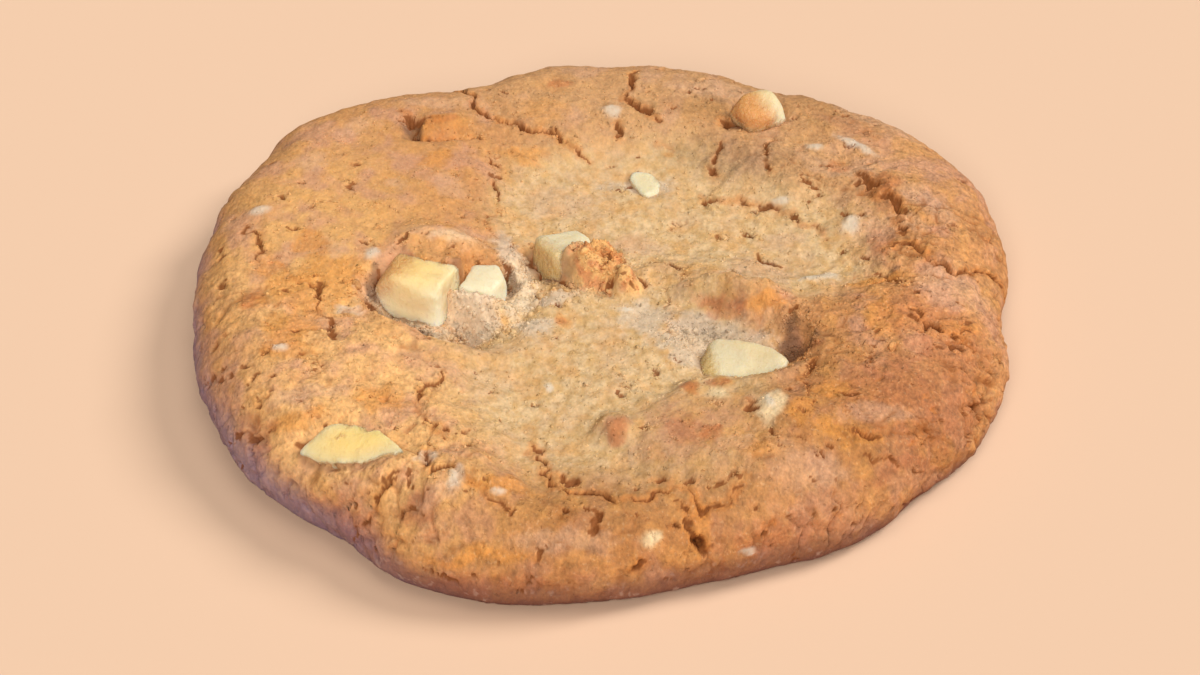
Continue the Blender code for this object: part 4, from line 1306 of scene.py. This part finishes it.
def scatter(count, smallest, largest, divisions, liking, seed):
    """Corners and faces of many crumbs, and the point of the skin below each corner."""
    draw = np.random.default_rng(seed)
    chance = (ANYWHERE + liking * masks["crumbly"]) * (1 - masks["torn"])
    chance *= to_sole > CLEAR_OF_SOLE
    chance *= (masks["contact_shadow"] < 0.5) * (masks["rough"] > 0.4)
    chosen = draw.choice(len(skin), count, p=chance / chance.sum())
    radius = smallest + (largest - smallest) * draw.beta(*CRUMB_SIZES, count)
    corners, faces = ball(divisions)
    turn = draw.normal(size=(count, 4))
    turn /= np.linalg.norm(turn, axis=1)[:, None]
    a, b, c, d = turn.T[:, :, None]
    x, y, z = (corners * CRUMB_STRETCH).T[:, None, :]
    turned = np.stack([
        (a * a + b * b - c * c - d * d) * x + 2 * (b * c - a * d) * y + 2 * (b * d + a * c) * z,
        2 * (b * c + a * d) * x + (a * a - b * b + c * c - d * d) * y + 2 * (c * d - a * b) * z,
        2 * (b * d - a * c) * x + 2 * (c * d + a * b) * y + (a * a - b * b - c * c + d * d) * z,
    ], axis=-1)
    shift = draw.uniform(0, 60, (count, 1, 3))
    ragged = 1 + 0.8 * lumpy((turned + shift).reshape(-1, 3), 0.7, seed + 1).reshape(count, -1, 1)
    centre = skin[chosen] + outward[chosen] * (radius * CRUMB_SINK)[:, None]
    placed = centre[:, None] + turned * ragged * radius[:, None, None]
    numbered = faces[None] + (np.arange(count) * len(corners))[:, None, None]
    return placed.reshape(-1, 3), numbered.reshape(-1, 3), np.repeat(chosen, len(corners))


all_corners, all_faces, below = [], [], []
for kind, values in CRUMB_KINDS.items():
    crumb_corners, crumb_faces, under = scatter(*values)
    all_faces += (crumb_faces + sum(map(len, all_corners))).tolist()
    all_corners.append(crumb_corners)
    below.append(under)
    print(kind, "take", len(crumb_faces), "triangles")
below = np.concatenate(below)
all_corners = np.clip(np.concatenate(all_corners), low, high)
crumb_piece = mesh_object("loose_crumbs", all_corners, all_faces)
for name, values in masks.items():
    keep_value(crumb_piece, name, values[below] * (name != "crack_dark_and_shade"))
draw = np.random.default_rng(83)
keep_value(crumb_piece, "lift", draw.uniform(-1, 1, len(skin))[below])
crumb_piece.data.materials.append(dough.material)
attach(crumb_piece, "root")

# %% [markdown]
# ## Chunks of white chocolate
#
# The chunks were chopped, so they have flat faces and edges. In the oven these went soft, and where
# a corner stood high it browned. Each chunk is a copy of its solid with finer faces, smoothed a
# little, and moved in and out by slow noise.

# %% Copy and soften each chunk
CHUNK_VOXEL = 0.3
# How often each chunk is smoothed, and how often any other one.
SMOOTHING = {"chunk_large": 20, "chunk_beside": 12, "chunk_rim": 22, "chunk_far": 12}
OTHER_SMOOTHING = 9
CHUNK_SWELL = [(0.2, 2.4), (0.1, 1.0)]  # height and size of the slow noise


def softened(node_name, seed):
    """A finer, softer copy of a chunk of the solid."""
    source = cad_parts[node_name]
    made = bpy.data.objects.new(node_name.replace("chunk", "chocolate"), source.data.copy())
    bpy.context.scene.collection.objects.link(made)
    made.data.materials.clear()
    remesh = made.modifiers.new("finer", "REMESH")
    remesh.mode = "VOXEL"
    remesh.voxel_size = CHUNK_VOXEL * MM
    smooth = made.modifiers.new("softer", "SMOOTH")
    smooth.iterations = SMOOTHING.get(node_name, OTHER_SMOOTHING)
    bpy.context.view_layer.update()
    evaluated = made.evaluated_get(bpy.context.evaluated_depsgraph_get())
    mesh = bpy.data.meshes.new_from_object(evaluated)
    made.modifiers.clear()
    made.data = mesh
    place, normal = coordinates(mesh, "co") / MM, coordinates(mesh, "normal")
    swell = layered(place, [(rise, size, seed + i) for i, (rise, size) in enumerate(CHUNK_SWELL)])
    place = np.clip(place + normal * swell[:, None], low, high)
    mesh.vertices.foreach_set("co", (place * MM).ravel())
    mesh.update()
    mesh.shade_smooth()
    return made, place


# %% [markdown]
# White chocolate is cream coloured and lets light in, so more light spreads below its surface than
# in the dough. Five masks on each chunk tell where it browned, which also paints shade on the side
# turned away from the key light, how olive the brown is, how far dough is smeared up its sides, and
# how yellow and how pale it is; the paleness grows towards the foot as painted light.

# %% Finish of the chocolate
chocolate = Finish("white_chocolate")
fine = chocolate.grain(0.4, 3.0, 0.6)
slow = chocolate.grain(2.4, 2.0, 0.5)
# Browning, and painted shade on the side turned away from the key light.
browned_and_shaded = chocolate.mask("browned_and_shaded") + (fine - 0.5) * 0.3 + (slow - 0.5) * 0.5
browned_and_shaded = browned_and_shaded.between(0.0, 1.0)
smeared = chocolate.mask("smeared") + (fine - 0.5) * 0.5 + (slow - 0.5) * 0.7
smeared = smeared.between(0.15, 0.95)
cream_colour = chocolate.mix(slow.between(0.35, 0.65), srgb(214, 192, 148), srgb(210, 194, 158))
brown_and_shade_colour = chocolate.mix(chocolate.mask("olive"), srgb(216, 142, 68), srgb(196, 156, 86))
colour = chocolate.glaze(cream_colour, [
    (chocolate.mask("pale"), srgb(250, 244, 212)),
    (chocolate.mask("yellow"), srgb(244, 206, 128)),
    (browned_and_shaded * 0.85, brown_and_shade_colour),
    (fine.between(0.55, 0.75) * 0.25, srgb(205, 165, 110)),
    (smeared * 0.75, srgb(206, 158, 104)),
])
chocolate.set(
    Base_Color=colour,
    Roughness=0.5 + (fine - 0.5) * 0.3,
    Specular_IOR_Level=0.35,
    Subsurface_Weight=0.6,
    Subsurface_Radius=(1.0, 0.8, 0.5),
    Subsurface_Scale=2.5 * MM,
    Normal=chocolate.bump(fine * (0.4 + browned_and_shaded + smeared) + slow, 0.25),
)
print("the chocolate's finish has", len(chocolate.tree.nodes), "nodes")

# %% Masks of each chunk
# The direction of its browned side, which also takes painted shade where it faces away from the key
# light, where browning starts and ends along it as a share of the chunk's reach, its strength, and how
# olive it is instead of orange; how high dough is smeared up its sides; how yellow its middle is, and
# how pale the rest.
CHUNK_FINISH = {
    "chunk_large": ((-0.75, 0.5, 0.4), 0.05, 0.9, 0.8, 0.0, 0.12, 0.8, 0.55),
    "chunk_beside": ((0, 1, 0), 1.0, 1.6, 0.2, 0.0, 0.2, 0.0, 0.6),
    "chunk_edge": ((0.2, 0.3, -1), 0.1, 1.2, 0.1, 0.0, 0.2, 1.0, 0.15),
    "chunk_pocket": ((-1, -0.2, -0.1), 0.3, 0.8, 1.0, 1.0, 0.4, 0.1, 0.4),
    "chunk_middle": ((-0.8, -0.6, -0.7), -0.65, 0.35, 1.0, 0.8, 0.4, 0.1, 0.4),
    "chunk_rim": ((-0.85, -0.45, -0.1), -0.75, 0.35, 1.0, 0.0, 1.0, 0.2, 0.4),
    "chunk_far": ((0, -1, 0), 0.8, 1.2, 0.2, 0.0, 0.4, 0.1, 0.65),
}
# Painted light: each chunk is made paler towards its foot, to make up for its lower sides getting less
# light.
PAINTED_LIGHT_BELOW = 0.75  # share of the chunk's height under which it grows paler
PAINTED_LIGHT_GAIN = 1.6  # by this much over its whole height

surface = BVHTree.FromPolygons(corners.tolist(), [list(face) for face in top_faces])


def above_dough(place):
    """How far each point stands out of the dough."""
    found = [surface.find_nearest(point) for point in place.tolist()]
    return np.array([
        (Vector(point) - near).dot(out) for point, (near, out, _, _) in zip(place, found)
    ])


def chunk_masks(place, direction, start, end, strength, olive, smear_height, yellow, pale):
    """The five masks of a chunk, from its points."""
    size = np.ptp(place, axis=0)
    from_middle = place - (place.min(axis=0) + place.max(axis=0)) / 2
    direction = np.array(direction, float) / np.linalg.norm(direction)
    along = from_middle @ direction / (size.max() / 2)
    to_edge = ((from_middle[:, :2] / size[:2] * 2) ** 2).sum(axis=1)
    height = (place[:, 2] - place[:, 2].min()) / size[2]
    return {
        "smeared": 1 - ease(above_dough(place) / smear_height),
        "olive": olive,
        "pale": np.clip(pale + PAINTED_LIGHT_GAIN * (PAINTED_LIGHT_BELOW - height), 0, 1.2),
        "yellow": np.clip(yellow * (1.1 - to_edge), 0, 1),
        "browned_and_shaded": strength * ease((along - start) / (end - start)),
    }


for seed, (name, values) in enumerate(CHUNK_FINISH.items()):
    piece, place = softened(name, 100 + 5 * seed)
    for mask, number in chunk_masks(place, *values).items():
        keep_value(piece, mask, number)
    piece.data.materials.append(chocolate.material)
    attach(piece, "root")
    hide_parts(name)
    print(piece.name, "has", len(piece.data.polygons), "faces")

# %% [markdown]
# ## Floor, light and camera
#
# The cookie lies on a plain pale floor. A broad soft light stands at the right and a little behind,
# a second one in front, and a weaker and broader one almost overhead. A little light from all round
# fills what they leave dark. The camera looks down at 38 degrees from far off, so that the far rim
# is hardly smaller than the near one.

# %% Floor and light
HALF_FLOOR = 900
floor_corners = np.array([(-1, -1, 0), (1, -1, 0), (1, 1, 0), (-1, 1, 0)]) * float(HALF_FLOOR)
floor = mesh_object("floor", floor_corners, [(0, 1, 2, 3)])
paper = Finish("pale_floor")
paper.set(Base_Color=(0.739, 0.498, 0.338), Roughness=0.95, Specular_IOR_Level=0.0)
floor.data.materials.append(paper.material)

# Each light: its bearing and height in degrees, how wide it looks, and its strength.
LIGHTS = {
    "key_light": (18, 42, 24, 2.15),
    "front_light": (-98, 38, 30, 2.25),
    "top_light": (-30, 78, 40, 0.83),
}
for name, (bearing, height, spread, strength) in LIGHTS.items():
    lamp = bpy.data.objects.new(name, bpy.data.lights.new(name, "SUN"))
    lamp.data.energy = strength
    lamp.data.angle = math.radians(spread)
    bearing, height = math.radians(bearing), math.radians(height)
    flat = math.cos(height)
    towards = Vector((flat * math.cos(bearing), flat * math.sin(bearing), math.sin(height)))
    lamp.rotation_euler = towards.to_track_quat("Z", "Y").to_euler()
    bpy.context.scene.collection.objects.link(lamp)
print("lights:", ", ".join(LIGHTS))

LIGHT_ALL_ROUND = 0.08
world = bpy.data.worlds.new("studio")
bpy.context.scene.world = world
world.use_nodes = True
background = world.node_tree.nodes["Background"].inputs
background["Color"].default_value = (1, 1, 1, 1)
background["Strength"].default_value = LIGHT_ALL_ROUND

# %% Camera
LOOK_DOWN = math.radians(38)
LENS = 100
DISTANCE = 353.8
AIM = Vector((-0.27, -5.63, 5.0))

camera = bpy.data.objects.new("camera", bpy.data.cameras.new("camera"))
camera.data.lens = LENS
camera.data.sensor_width = 36
camera.data.clip_start = 0.01
camera.rotation_euler = (math.pi / 2 - LOOK_DOWN, 0, 0)
back = Vector((0, -math.cos(LOOK_DOWN), math.sin(LOOK_DOWN)))
camera.location = (AIM + back * DISTANCE) * MM
bpy.context.scene.collection.objects.link(camera)
bpy.context.scene.camera = camera
bpy.context.scene.view_settings.view_transform = "Standard"
bpy.context.scene.view_settings.look = "None"
print("the camera stands", round(DISTANCE), "mm away")
